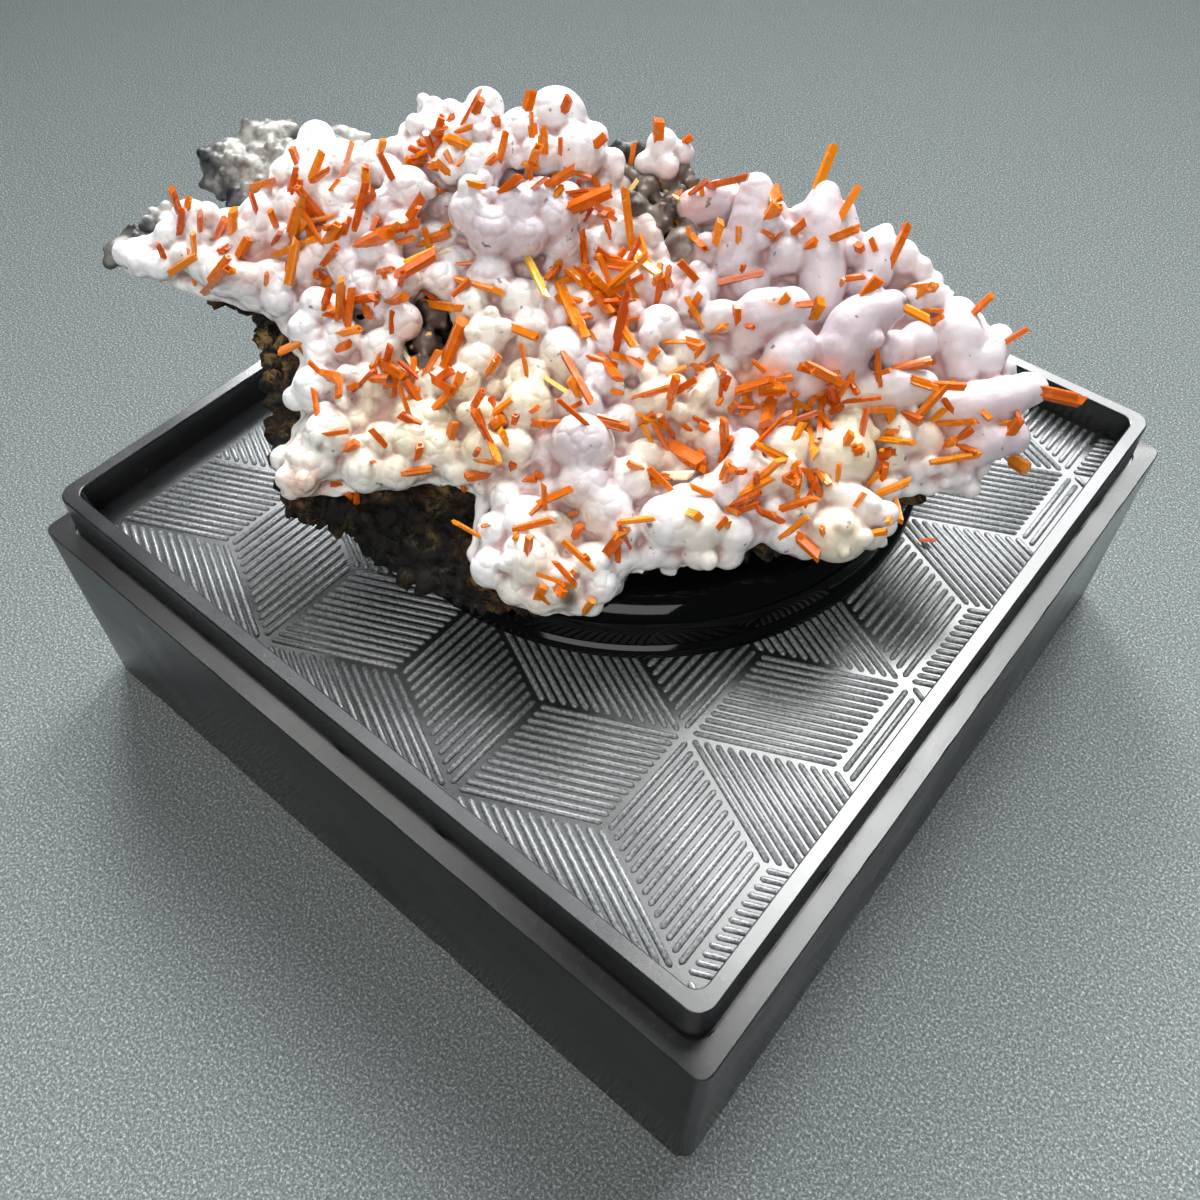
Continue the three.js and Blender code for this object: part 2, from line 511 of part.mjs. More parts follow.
// Grey goethite balls that stand clear of the crust's back edge: x, y, lift and radius.
const GOETHITE_BALLS = [
  [-24.5, 11.4, -1.6, 1.3], [-23.6, 12.6, -1.5, 1.3], [-22.6, 13.4, -1.5, 1.3], [-21.3, 13.9, -1.5, 1.3],
  [-22.7, 11.6, -1.4, 1.5], [-21.2, 12.4, -1.6, 1.4], [-28.3, 9.4, -1.6, 1], [-16.4, 13, -1.6, 1.2],
  [3.6, 10.8, -2.4, 1.6], [5.2, 9.4, -2.4, 1.5], [2, 10.6, -2.4, 1.4],
];

function gossanDepth(x, y) {
  let deepest = GOSSAN_EDGE;
  for (const [lumpX, lumpY, depth, radius] of GOSSAN_LUMPS) {
    const aside = Math.hypot(x - lumpX, y - lumpY);
    if (aside < radius) {
      deepest = Math.max(deepest, depth * Math.sqrt(1 - (aside / radius) ** 2));
    }
  }
  return deepest;
}

function makeGossan(grownCrust) {
  const net = netOf(GOSSAN_OUTLINE, [], GOSSAN_PITCH, []);
  const topHeight = (y) => FRONT_Z + LEAN * (y - FRONT_Y) - GOSSAN_TOP;
  const reliefAt = (x, y) => {
    const height = Math.max(REST_HEIGHT, topHeight(y) - gossanDepth(x, y));
    return new THREE.Vector3(x, y, Math.min(height, topHeight(y) - 0.4));
  };
  const plainAt = (x, y) => new THREE.Vector3(x, y, topHeight(y));
  const slab = sheetOf(net, reliefAt, plainAt, false);
  const balls = GOETHITE_BALLS.map(([x, y, lift, radius]) => lump(x, y, lift, radius, 0.9));
  return largestOf(joined([slab, ...balls]).subtract(grownCrust));
}

// ---- crocoite ----

// A four-sided prism with a slanted end, from its foot to its tip on the plate's face.
function prism([x1, y1, x2, y2, rise, width]) {
  const footLift = surfaceLift(x1, y1) - 0.3;
  let tipLift = footLift + rise;
  for (const part of [0.4, 0.6, 0.8, 1]) {
    const under = surfaceLift(x1 + (x2 - x1) * part, y1 + (y2 - y1) * part);
    tipLift = Math.max(tipLift, footLift + (under + 0.1 + width / 4 - footLift) / part);
  }
  const foot = place(x1, y1, footLift);
  const tip = place(x2, y2, tipLift);
  const length = foot.distanceTo(tip);
  const geometry = new THREE.BoxGeometry(width, width * 0.8, length);
  geometry.translate(0, 0, length / 2);
  const position = geometry.attributes.position;
  for (let i = 0; i < position.count; i += 1) {
    if (position.getZ(i) > length * 0.5) {
      position.setZ(i, length - width * 0.35 + (position.getX(i) / width) * width * 0.7);
    }
  }
  geometry.rotateZ(vary(0, Math.PI));
  const way = tip.clone().sub(foot).normalize();
  const turn = new THREE.Quaternion().setFromUnitVectors(new THREE.Vector3(0, 0, 1), way);
  geometry.applyQuaternion(turn);
  geometry.translate(foot.x, foot.y, foot.z);
  return solidOf(geometry);
}

// Large crystals, each a piece of its own: foot x, y, tip x, y, rise of the tip and width.
const LARGE_CRYSTALS = {
  crocoite_wing_long: [-28, 5.3, -25.8, 6.6, 0.5, 0.5],
  crocoite_wing_short: [-25.4, 4.2, -23.9, 5.7, 0.5, 0.5],
  crocoite_wing_block: [-23.3, 6.2, -22.6, 7.5, 0.8, 0.6],
  crocoite_wing_pair: [-21.4, 6.3, -18.5, 7.2, 0.5, 0.5],
  crocoite_mass_low: [-18.4, 5.2, -17.2, 6.7, 0.6, 0.5],
  crocoite_mass_mid: [-18, 6.7, -17.1, 8.1, 0.8, 0.7],
  crocoite_mass_slab: [-15.8, 6.6, -14.1, 7.3, 0.8, 0.8],
  crocoite_bridge: [-13.9, 4.4, -11.1, 5.9, 0.5, 0.6],
  crocoite_bridge_upper: [-12.3, 6.5, -10.2, 7.2, 0.4, 0.5],
  crocoite_upright: [-12.8, 8, -11.7, 9.6, 0.8, 0.6],
  crocoite_upper_blade: [-16.9, 10.5, -16, 13.3, 0.7, 0.45],
  crocoite_pit_upper: [-12.4, 3, -9.9, 2.4, 0.9, 0.6],
  crocoite_pit_slab: [-11, -1.2, -9.7, 1.6, 1.1, 0.9],
  crocoite_middle_needle: [-10.2, 4.3, -7.4, 3.3, 0.9, 0.45],
  crocoite_side_lower: [-17.7, 1.2, -16, 1.5, 0.8, 0.5],
  crocoite_knob_foot: [-7.2, 9.1, -5.5, 10.5, 0.9, 0.55],
  crocoite_knob_side: [-5.1, 10.3, -4.2, 12.4, 0.7, 0.6],
  crocoite_knob_bar: [-4.2, 9.6, -2, 10.8, 0.9, 0.55],
  crocoite_knob_slab: [-2.7, 8.2, 0.2, 9.3, 1.2, 0.85],
  crocoite_golden_needle: [-5.5, 5.4, -4.5, 2.8, 1.1, 0.4],
  crocoite_spray_column: [-3.5, 3.2, -2.3, 0.1, 1.3, 0.8],
  crocoite_spray_left: [-2.6, 4.6, -0.6, 1.6, 1.5, 0.6],
  crocoite_spray_right: [-1.6, 5, 1.2, 4.4, 1.4, 0.6],
  crocoite_spray_low: [-0.5, 1.6, 0.7, -0.6, 1.2, 0.5],
  crocoite_spray_gold: [0.9, 5.3, 2.8, 3.7, 1.3, 0.6],
  crocoite_front_needle: [-3.9, -0.3, -2.3, -3.7, 1, 0.5],
  crocoite_front_bar: [-6.2, -9.5, -3.9, -8.7, 0.6, 0.5],
  crocoite_front_thin: [-2, -10.8, 0.7, -10.7, 0.5, 0.35],
  crocoite_finger_spike: [13.4, 8.6, 15, 11.5, 0.6, 0.65],
  crocoite_finger_fork: [14.5, 6.5, 16.2, 8.7, 0.6, 0.6],
  crocoite_comb_spike: [17.1, 3.1, 19, 6, 0.8, 0.6],
  crocoite_edge_upper: [22, 0, 23.6, 1.2, 0.5, 0.5],
  crocoite_edge_middle: [23.6, -1.9, 25.5, -1, 0.6, 0.5],
  crocoite_end_bar: [25.3, -4.9, 28.1, -5.7, 0.3, 0.65],
  crocoite_right_bar: [18.3, -4, 20.9, -4.3, 0.6, 0.55],
  crocoite_right_fan: [16.6, -3, 19, -2.6, 0.7, 0.6],
  crocoite_palm_blade: [11, -2.3, 13.3, -3.7, 0.7, 0.55],
  crocoite_hollow_bar: [6.4, -3.7, 8.9, -3.1, 1, 0.5],
  crocoite_back_column: [3.5, 12.1, 3.8, 13.8, 0.5, 0.8],
  crocoite_back_bar: [5, 9, 9.1, 9.7, 0.9, 0.5],
  crocoite_back_needle: [4, 7.3, 5.8, 5.2, 1, 0.5],
  crocoite_finger_side: [6.1, 4.8, 7, 6.9, 0.7, 0.6],
  crocoite_low_right_needle: [7.1, -11, 10.6, -10.2, 0.7, 0.45],
  crocoite_under_spike: [9, -12, 10.4, -13.5, 0.5, 0.6],
  crocoite_block_patch: [2, -6.5, 4, -7.8, 0.9, 0.9],
  crocoite_cream_bar: [1.1, -8.3, 3.3, -8.4, 0.7, 0.45],
};

// Small crystals grown into the crust.
const SMALL_CRYSTALS = [
  [-18.5, -1, -17.4, -1.4, 0.4, 0.6], [-17, 3.2, -15.1, 3.4, 0.4, 0.5], [-14.4, 3, -13.2, 3.3, 0.5, 0.6],
  [-22.8, 10.6, -21, 11, 0.4, 0.5], [-10.6, 13.6, -10.2, 14.8, 0.5, 0.6], [-8.2, 14.6, -7.6, 15.8, 0.5, 0.6],
  [-4.8, 14.6, -4.3, 16.2, 0.5, 0.6], [-2.6, 14.2, -1.9, 15.6, 0.5, 0.5], [-0.9, 12, 0.2, 12.9, 0.5, 0.5],
  [-7.8, 11.2, -6.9, 12, 0.5, 0.5], [-16, 9.4, -14.9, 9.8, 0.5, 0.6], [-19.8, 7.6, -19, 8.6, 0.5, 0.7],
  [-24.6, 7.4, -24, 8.8, 0.5, 0.5], [-26.4, 9.2, -26.2, 10.4, 0.4, 0.4], [-15, -0.6, -13.4, -1.6, 0.6, 0.6],
  [-12.2, -1.4, -10.6, -2.6, 0.6, 0.6], [-11, -5.6, -10.6, -4.4, 0.5, 0.5], [-13, -6.6, -12.7, -5.6, 0.5, 0.5],
  [-17.4, -5.8, -16.4, -5.2, 0.5, 0.6], [-8.4, -5, -7.6, -4.4, 0.6, 0.6], [-6, -4.6, -5.2, -4.9, 0.5, 0.6],
  [-1.6, -0.8, -0.5, -2.5, 0.7, 0.5], [-6.9, 1.1, -5.2, 0.3, 0.7, 0.5], [-8.6, -2, -7.6, -0.6, 0.5, 0.5],
  [0.1, -3.8, 2.5, -3.2, 0.5, 0.4], [2.7, -3.6, 4.3, -2.8, 0.7, 0.5], [0.3, -5.4, 1.5, -4.7, 0.5, 0.5],
  [5.2, -7.8, 6, -6.4, 0.6, 0.5], [8.8, -4.2, 8.2, -5.7, 0.7, 0.7], [10.4, -4.4, 9.8, -5.8, 0.5, 0.5],
  [11.9, -4.2, 11.4, -6.8, 0.4, 0.4], [10.7, -5.4, 11, -7.8, 0.4, 0.45], [12.6, -7.6, 13.4, -6.6, 0.4, 0.5],
  [8.7, -8.7, 9.8, -9.4, 0.4, 0.6], [13.2, -5.2, 16.3, -5.4, 0.4, 0.45], [14.9, -7, 17.1, -7.4, 0.5, 0.4],
  [16.6, -5.6, 17.8, -6.2, 0.6, 0.6], [18.6, -6.4, 21.2, -6.4, 0.6, 0.45], [19.4, -7.7, 20.9, -6.8, 0.5, 0.5],
  [22.8, -7.6, 24, -6.4, 0.5, 0.7], [23, -8.8, 23.8, -9.4, 0.4, 0.8], [14.7, -9.9, 15.2, -8.6, 0.5, 0.45],
  [6.2, 3, 9.3, 3.5, 0.4, 0.45], [11, 5.6, 12.4, 6.6, 0.5, 0.5], [10, 6.8, 10.8, 7.8, 0.5, 0.8],
  [15.4, 1.6, 16.6, 2.7, 0.5, 0.8], [18.3, 1.8, 20.2, 1.9, 0.4, 0.45], [19.1, -0.4, 20.3, 0.1, 0.4, 0.45],
  [11.8, 0.3, 12.7, 1.5, 0.4, 0.7], [14.2, 2.8, 15.7, 2.9, 0.3, 0.35], [1.4, -1.7, 2.1, -0.8, 0.5, 0.5],
  [5.2, -10.7, 7.2, -10.3, 0.6, 0.5], [2.8, -10.5, 3.5, -10.8, 0.5, 0.7], [-6.9, -12.6, -6.6, -11.2, 0.4, 0.5],
  [-4.2, -11.8, -3.6, -10.8, 0.4, 0.5], [-2.3, -12.6, -1.3, -11.6, 0.5, 0.8], [-6.6, -14.8, -6, -14, 0.4, 0.6],
  [-2, -4.8, -0.1, -5.4, 0.5, 0.45], [4.3, 1, 5, 2.2, 0.6, 0.6], [-19.4, 12, -19.8, 13.2, 0.5, 0.5],
  [-14.4, 12.2, -14, 13.4, 0.5, 0.5], [7.9, 5, 8.1, 6.5, 0.3, 0.4],
];

// ---- the whole ----

const group = new THREE.Group();
group.add(meshOf(makeBoxBase(), 'box_base', boxPlastic));

const puck = new THREE.Mesh(makePuck(), puckPlastic);
puck.name = 'display_puck';
puck.position.set(PUCK_X, PUCK_Y, FLOOR_HEIGHT + GAP);
group.add(puck);

const specimen = new THREE.Group();
specimen.rotation.z = SPECIMEN_TURN;
specimen.position.set(0, 0, RIM_TOP);
group.add(specimen);

const crust = makeCrust(0);
const grownCrust = makeCrust(GAP);
const gossan = makeGossan(grownCrust);
const smallCrystals = SMALL_CRYSTALS.map((list) => prism(list));
const crustWithCrystals = largestOf(joined([crust, ...smallCrystals]));
specimen.add(meshOf(gossan, 'gossan_matrix', gossanStone));
specimen.add(meshOf(crustWithCrystals, 'gibbsite_crust', gibbsiteStone));

const CRYSTAL_COLOURS = [0xe8480f, 0xd63a0a, 0xef6a1c, 0xdf4f12];
Object.entries(LARGE_CRYSTALS).forEach(([name, list], i) => {
  const solid = largestOf(prism(list).subtract(grownCrust));
  const look = stoneLook(CRYSTAL_COLOURS[i % CRYSTAL_COLOURS.length], 0.2);
  specimen.add(meshOf(solid, name, look));
});

export default group;
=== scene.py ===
"""Crocoite on matrix: orange-red crocoite prisms on a white gibbsite crust over dark gossan,
resting on a black puck in the lower half of a square mineral box."""

import math
import random

import bmesh
import bpy
import numpy as np
from mathutils import Matrix, Vector, noise
from mathutils.bvhtree import BVHTree


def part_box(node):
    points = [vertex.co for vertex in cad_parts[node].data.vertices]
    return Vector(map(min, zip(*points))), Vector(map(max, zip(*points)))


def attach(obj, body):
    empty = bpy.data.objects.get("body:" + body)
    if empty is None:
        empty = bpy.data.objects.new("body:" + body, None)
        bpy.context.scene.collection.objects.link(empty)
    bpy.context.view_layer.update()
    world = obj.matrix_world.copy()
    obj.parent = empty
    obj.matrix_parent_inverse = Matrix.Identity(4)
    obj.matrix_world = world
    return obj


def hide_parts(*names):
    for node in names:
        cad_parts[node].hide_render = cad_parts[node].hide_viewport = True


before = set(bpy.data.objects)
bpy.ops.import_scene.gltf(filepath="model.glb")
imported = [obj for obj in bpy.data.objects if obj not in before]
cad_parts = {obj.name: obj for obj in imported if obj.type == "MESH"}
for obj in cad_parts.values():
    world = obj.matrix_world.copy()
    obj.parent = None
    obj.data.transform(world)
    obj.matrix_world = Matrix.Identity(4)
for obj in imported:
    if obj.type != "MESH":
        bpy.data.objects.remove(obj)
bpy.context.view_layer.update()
mm = 0.001


# ---- Camera, lights and table ----
# The box is looked down on from its near corner, close by, as a small thing is held under
# a lens. Windows stand behind it on the right and the left, with a weak ceiling light and a
# broad soft fill in front. It stands on rough grey paper.

rim_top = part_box("box_base")[1].z
eye = (32.56 * mm, -41.51 * mm, rim_top + 53.3 * mm)
gaze = Vector((-0.3834, 0.4639, -0.7986))
middle = (0, 0, 0.02)
beside_box = (0.11, -0.085, 0.02)
lights = [
    # name, place, aim, width, height, spread in degrees, watts, tint
    ("window", (-0.025, 0.28, 0.57), beside_box, 0.2, 0.32, 50, 0.43, (0.99, 1.0, 1.0)),
    ("window_low", (-0.07, 0.48, 0.42), beside_box, 0.3, 0.14, 60, 0.28, (0.97, 1.0, 1.0)),
    ("side_window", (-0.36, 0.3, 0.45), beside_box, 0.24, 0.24, 50, 0.56, (0.95, 0.98, 1.0)),
    ("ceiling", (-0.28, -0.05, 0.55), middle, 0.26, 0.24, 50, 0.08, (1.0, 0.99, 0.97)),
    ("front_fill", (0.16, -0.29, 0.3), middle, 0.3, 0.22, 180, 1.2, (1.0, 0.98, 0.96)),
]
table_half = 1.5


def new_object(name, data):
    """An object that stands in the scene and shows the data."""
    made = bpy.data.objects.new(name, data)
    bpy.context.scene.collection.objects.link(made)
    return made


def look_along(made, way):
    made.rotation_mode = "QUATERNION"
    made.rotation_quaternion = way.to_track_quat("-Z", "Y")


camera = new_object("camera", bpy.data.cameras.new("camera"))
bpy.context.scene.camera = camera
camera.data.sensor_width = 36
camera.data.lens = 32.2
camera.data.clip_start = 0.002
camera.data.clip_end = 20
camera.location = eye
look_along(camera, gaze)

for name, spot, aim, width, height, spread, watts, tint in lights:
    panel = bpy.data.lights.new(name, "AREA")
    panel.shape = "RECTANGLE"
    panel.size = width
    panel.size_y = height
    panel.energy = watts
    panel.color = tint
    panel.spread = math.radians(spread)
    lamp = new_object(name, panel)
    lamp.location = spot
    look_along(lamp, Vector(aim) - Vector(spot))

world = bpy.data.worlds.new("room")
bpy.context.scene.world = world
world.use_nodes = True
world.node_tree.nodes["Background"].inputs["Color"].default_value = (0.9, 0.97, 1, 1)
world.node_tree.nodes["Background"].inputs["Strength"].default_value = 0.1
bpy.context.scene.view_settings.view_transform = "Standard"


def feed(tree, socket, value):
    """Joins a socket to another node's output, or sets its own value."""
    if isinstance(value, bpy.types.NodeSocket):
        tree.links.new(value, socket)
    elif socket.type == "RGBA":
        socket.default_value = (*value, 1)
    else:
        socket.default_value = value


def add_node(tree, kind, inputs, **settings):
    """A node with its settings made and its inputs fed, each by name or number."""
    node = tree.nodes.new(kind)
    for label, value in settings.items():
        setattr(node, label, value)
    for label, value in inputs.items():
        feed(tree, node.inputs[label], value)
    return node


def shade(material, inputs):
    """Feeds the named inputs of a material's shader."""
    shader = material.node_tree.nodes["Principled BSDF"]
    for label, value in inputs.items():
        feed(material.node_tree, shader.inputs[label], value)


def new_material(name, color, roughness):
    material = bpy.data.materials.new(name)
    material.use_nodes = True
    shade(material, {"Base Color": color, "Roughness": roughness})
    return material


def own_place(material):
    """Where each point of the piece lies, in metres."""
    return add_node(material.node_tree, "ShaderNodeTexCoord", {}).outputs["Object"]


def noise_node(material, scale, detail, roughness=0.5):
    inputs = {"Vector": own_place(material), "Scale": scale, "Detail": detail, "Roughness": roughness}
    return add_node(material.node_tree, "ShaderNodeTexNoise", inputs).outputs["Fac"]


def ramp_node(material, value, *stops):
    """A colour that follows a value: each stop is a position and the colour there."""
    ramp = add_node(material.node_tree, "ShaderNodeValToRGB", {"Fac": value})
    elements = ramp.color_ramp.elements
    while len(elements) < len(stops):
        elements.new(0.5)
    for element, (position, color) in zip(elements, stops):
        element.position = position
        element.color = (*color, 1)
    return ramp.outputs["Color"]


def bump_node(material, height, strength, distance, over=None):
    """Fine relief that follows a height, over coarser relief if there is some."""
    inputs = {"Height": height, "Strength": strength, "Distance": distance}
    if over is not None:
        inputs["Normal"] = over
    return add_node(material.node_tree, "ShaderNodeBump", inputs).outputs["Normal"]


table_paper = new_material("pale_paper", (0.3, 0.315, 0.32), 0.85)
grain = noise_node(table_paper, scale=5200, detail=5, roughness=0.85)
paper_tone = ramp_node(
    table_paper, grain,
    (0.36, (0.06, 0.072, 0.074)), (0.47, (0.115, 0.132, 0.134)),
    (0.55, (0.19, 0.21, 0.21)), (0.63, (0.5, 0.53, 0.51)),
)
shade(table_paper, {
    "Base Color": paper_tone,
    "IOR": 1.0,
    "Normal": bump_node(table_paper, grain, strength=0.5, distance=0.08 * mm),
})
table_corners = [(x * table_half, y * table_half, 0) for x, y in ((-1, -1), (1, -1), (1, 1), (-1, 1))]
table_mesh = bpy.data.meshes.new("table")
table_mesh.from_pydata(table_corners, [], [(0, 1, 2, 3)])
table_mesh.materials.append(table_paper)
new_object("table", table_mesh)


# ---- Box base ----
# Black moulded polystyrene: straight walls with a little draft, a flat ledge for the lid,
# a raised rim with rounded corners and a sunk floor. Its arrises are slightly worn.

foot, top = (corner.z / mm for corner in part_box("box_base"))
ledge = 17.0
floor = 17.9
box_profile = [
    # half of the width, corner radius, height and wear, in millimetres
    (28.75, 0.8, foot, 0), (28.97, 1.0, foot + 0.25, 0.2), (28.5, 0.8, ledge - 0.13, 0),
    (28.44, 0.75, ledge - 0.07, 0.1), (27.3, 1.3, ledge, 0.12), (27.26, 1.3, ledge - 0.2, 0.25),
    (27.16, 1.25, ledge - 0.2, 0), (27.02, 1.2, top - 0.09, 0), (26.96, 1.15, top - 0.02, 0.03),
    (26.92, 1.1, top, 0.04), (26.12, 0.9, top, 0.03), (26.07, 0.88, top - 0.03, 0.04),
    (26.03, 0.85, top - 0.12, 0), (26.0, 0.8, floor, 0),
]
steps_along_wall = 49
steps_round_corner = 9
nicks_per_mm = 1.7
unworn_share = 0.12


def square_ring(half, corner, height, wear, seed):
    """One ring of the box's skin, nicked inwards where it is worn."""
    ring = []
    straight = half - corner
    for side in range(4):
        turn = Matrix.Rotation(side * math.pi / 2, 3, "Z")
        for step in range(steps_along_wall):
            ring.append(turn @ Vector((half, -straight + 2 * straight * step / steps_along_wall, 0)))
        for step in range(steps_round_corner):
            angle = step / steps_round_corner * math.pi / 2
            centre = Vector((straight, straight, 0))
            ring.append(turn @ (centre + corner * Vector((math.cos(angle), math.sin(angle), 0))))
    worn = []
    for point in ring:
        nick = noise.noise(Vector((point.x * nicks_per_mm, point.y * nicks_per_mm, height + seed)))
        depth = max(0, nick - unworn_share) * wear
        worn.append((point - point.normalized() * depth + Vector((0, 0, height))) * mm)
    return worn


def ring_faces(rings, count, first=0):
    """The faces of a skin over rings of so many points each, closed at both ends."""
    faces = []
    for ring in range(rings - 1):
        low = first + ring * count
        for i in range(count):
            j = (i + 1) % count
            faces.append((low + i, low + j, low + count + j, low + count + i))
    last = first + (rings - 1) * count
    faces.append(tuple(first + i for i in reversed(range(count))))
    faces.append(tuple(last + i for i in range(count)))
    return faces


def smooth_faces(mesh, sharp_degrees=None):
    mesh.polygons.foreach_set("use_smooth", [True] * len(mesh.polygons))
    if sharp_degrees:
        mesh.set_sharp_from_angle(angle=math.radians(sharp_degrees))


def object_of(name, vertices, faces, material, sharp_degrees):
    mesh = bpy.data.meshes.new(name)
    mesh.from_pydata([tuple(vertex) for vertex in vertices], [], faces)
    mesh.update()
    mesh.materials.append(material)
    smooth_faces(mesh, sharp_degrees)
    return new_object(name, mesh)


def grey_ramp(material, value, *stops):
    """A grey that follows a value: each stop is a position and how bright it is there."""
    return ramp_node(material, value, *[(position, (bright, bright, bright)) for position, bright in stops])


def mix_node(material, factor, one, two, blend="MIX"):
    """Colour one turned to colour two as far as the factor says."""
    inputs = {0: factor, 6: one, 7: two}
    node = add_node(material.node_tree, "ShaderNodeMix", inputs, data_type="RGBA", blend_type=blend)
    return node.outputs[2]


black_plastic = new_material("black_moulded_plastic", (0.012, 0.0125, 0.0135), 0.3)
dust = noise_node(black_plastic, scale=2200, detail=3, roughness=0.6)
smear = noise_node(black_plastic, scale=90, detail=3, roughness=0.6)
dusty = grey_ramp(black_plastic, dust, (0.6, 0), (0.78, 1))
shade(black_plastic, {
    "Base Color": mix_node(black_plastic, dusty, (0.011, 0.0115, 0.0125), (0.04, 0.04, 0.042)),
    "Roughness": grey_ramp(black_plastic, smear, (0.3, 0.2), (0.75, 0.34)),
    "Normal": bump_node(black_plastic, dust, strength=0.12, distance=0.02 * mm),
    "IOR": 1.68,
})

glossy_wall = new_material("glossy_black_wall", (0.006, 0.0065, 0.007), 0.15)
scuffs = noise_node(glossy_wall, scale=1300, detail=5, roughness=0.7)
haze = noise_node(glossy_wall, scale=60, detail=3, roughness=0.6)
scuffed = grey_ramp(glossy_wall, scuffs, (0.68, 0), (0.74, 1))
shade(glossy_wall, {
    "Base Color": mix_node(glossy_wall, scuffed, (0.005, 0.0055, 0.006), (0.06, 0.06, 0.06)),
    "Roughness": grey_ramp(glossy_wall, haze, (0.35, 0.1), (0.65, 0.3)),
    "Normal": bump_node(glossy_wall, haze, strength=0.1, distance=0.2 * mm),
    "IOR": 1.3,
})

box_rings = [square_ring(*row, seed) for seed, row in enumerate(box_profile)]
ring_size = len(box_rings[0])
box_points = [point for ring in box_rings for point in ring]
box_faces = ring_faces(len(box_rings), ring_size)
box_base = object_of("moulded_box_base", box_points, box_faces, black_plastic, 25)
for arris in box_base.data.edges:
    if arris.vertices[0] // ring_size == arris.vertices[1] // ring_size:
        arris.use_edge_sharp = True
box_base.data.materials.append(glossy_wall)
for face in box_base.data.polygons:
    upright = abs(face.normal.z) < 0.5
    if upright and face.center.z < (ledge - 0.1) * mm:
        face.material_index = 1
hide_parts("box_base")
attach(box_base, "root")


# ---- Floor ribs ----
# The tumbling-block pattern moulded into the floor: diamonds in three directions, each
# filled with a comb of fine round-ended ribs that run along one pair of its sides.

rib_width = 0.39 * mm
rib_height = 0.3 * mm

# The ribbed field, the pattern's corner and a diamond's sides in their three directions, then
# how each rib fits in its diamond: lengths in millimetres.
field_low = Vector((-23.9, -25.7))
field_high = Vector((25.9, 25.85))
origin = Vector((24.35, -25.1))
along = Vector((0, 7.65))
down = Vector((8.2, -3.8))
up = along + down
diamonds_each_way = 9
ribs_in_diamond = 13
gap_at_side = 0.03
shortest_rib = 0.4
tapered_end = 0.16
end_swell = 0.35


def clipped(start, end):
    """The part of a segment inside the ribbed field, or None."""
    low, high = 0.0, 1.0
    step = end - start
    for axis in (0, 1):
        if abs(step[axis]) < 1e-9:
            if not field_low[axis] < start[axis] < field_high[axis]:
                return None
            continue
        ends = [(side[axis] - start[axis]) / step[axis] for side in (field_low, field_high)]
        low, high = max(low, min(ends)), min(high, max(ends))
    if (high - low) * step.length < shortest_rib:
        return None
    return start + step * low, start + step * high


rib_points, rib_edges, rib_swell = [], [], []
diamonds = range(-diamonds_each_way, diamonds_each_way + 1)
for i in diamonds:
    for j in diamonds:
        corner = origin + along - down + (along - down) * i + (up + down) * j
        combs = ((corner - along, down, along), (corner, along, up), (corner, up, down))
        for base, across, run in combs:
            for k in range(ribs_in_diamond):
                share = (k + 0.5) / ribs_in_diamond
                begin = base + across * share + run * gap_at_side
                finish = base + across * share + run * (1 - gap_at_side)
                kept = clipped(begin, finish)
                if kept:
                    way = (kept[1] - kept[0]).normalized() * tapered_end
                    line = (kept[0], kept[0] + way, kept[1] - way, kept[1])
                    first = len(rib_points)
                    rib_edges += [(first + step, first + step + 1) for step in range(3)]
                    rib_points += [Vector((p.x * mm, p.y * mm, floor * mm)) for p in line]
                    rib_swell += [end_swell, 1, 1, end_swell]


def new_tree(name, inputs):
    """A geometry tree with its named inputs and a finish, and the sockets that hand them on."""
    tree = bpy.data.node_groups.new(name, "GeometryNodeTree")
    tree.interface.new_socket("Geometry", in_out="OUTPUT", socket_type="NodeSocketGeometry")
    for label, kind in {"Geometry": "Geometry", **inputs, "Finish": "Material"}.items():
        tree.interface.new_socket(label, in_out="INPUT", socket_type="NodeSocket" + kind)
    return tree, tree.nodes.new("NodeGroupInput").outputs


def end_tree(tree, given, geometry):
    """Ends a tree with real geometry in the given finish."""
    realize = add_node(tree, "GeometryNodeRealizeInstances", {"Geometry": geometry})
    inputs = {"Geometry": realize.outputs["Geometry"], "Material": given["Finish"]}
    finished = add_node(tree, "GeometryNodeSetMaterial", inputs)
    add_node(tree, "NodeGroupOutput", {"Geometry": finished.outputs["Geometry"]})


def value_of(tree, label, kind="FLOAT"):
    """The number or vector that each point carries under a name."""
    node = add_node(tree, "GeometryNodeInputNamedAttribute", {"Name": label}, data_type=kind)
    return node.outputs["Attribute"]


def plain_mesh(made):
    """The object with its modifiers turned into a plain mesh of its own."""
    evaluated = made.evaluated_get(bpy.context.evaluated_depsgraph_get())
    mesh = bpy.data.meshes.new_from_object(evaluated)
    made.modifiers.clear()
    old = made.data
    made.data = mesh
    if old.users == 0:
        bpy.data.meshes.remove(old)
    mesh.name = made.name
    while len(mesh.materials) > 1 and mesh.materials[0] is None:
        mesh.materials.pop(index=0)
    return made


def grown(made, tree, values):
    """The plain mesh that a tree makes of an object, with its inputs set by identifier."""
    modifier = made.modifiers.new(tree.name, "NODES")
    modifier.node_group = tree
    for item in tree.interface.items_tree:
        if item.in_out == "INPUT" and item.name in values:
            modifier[item.identifier] = values[item.name]
    return plain_mesh(made)


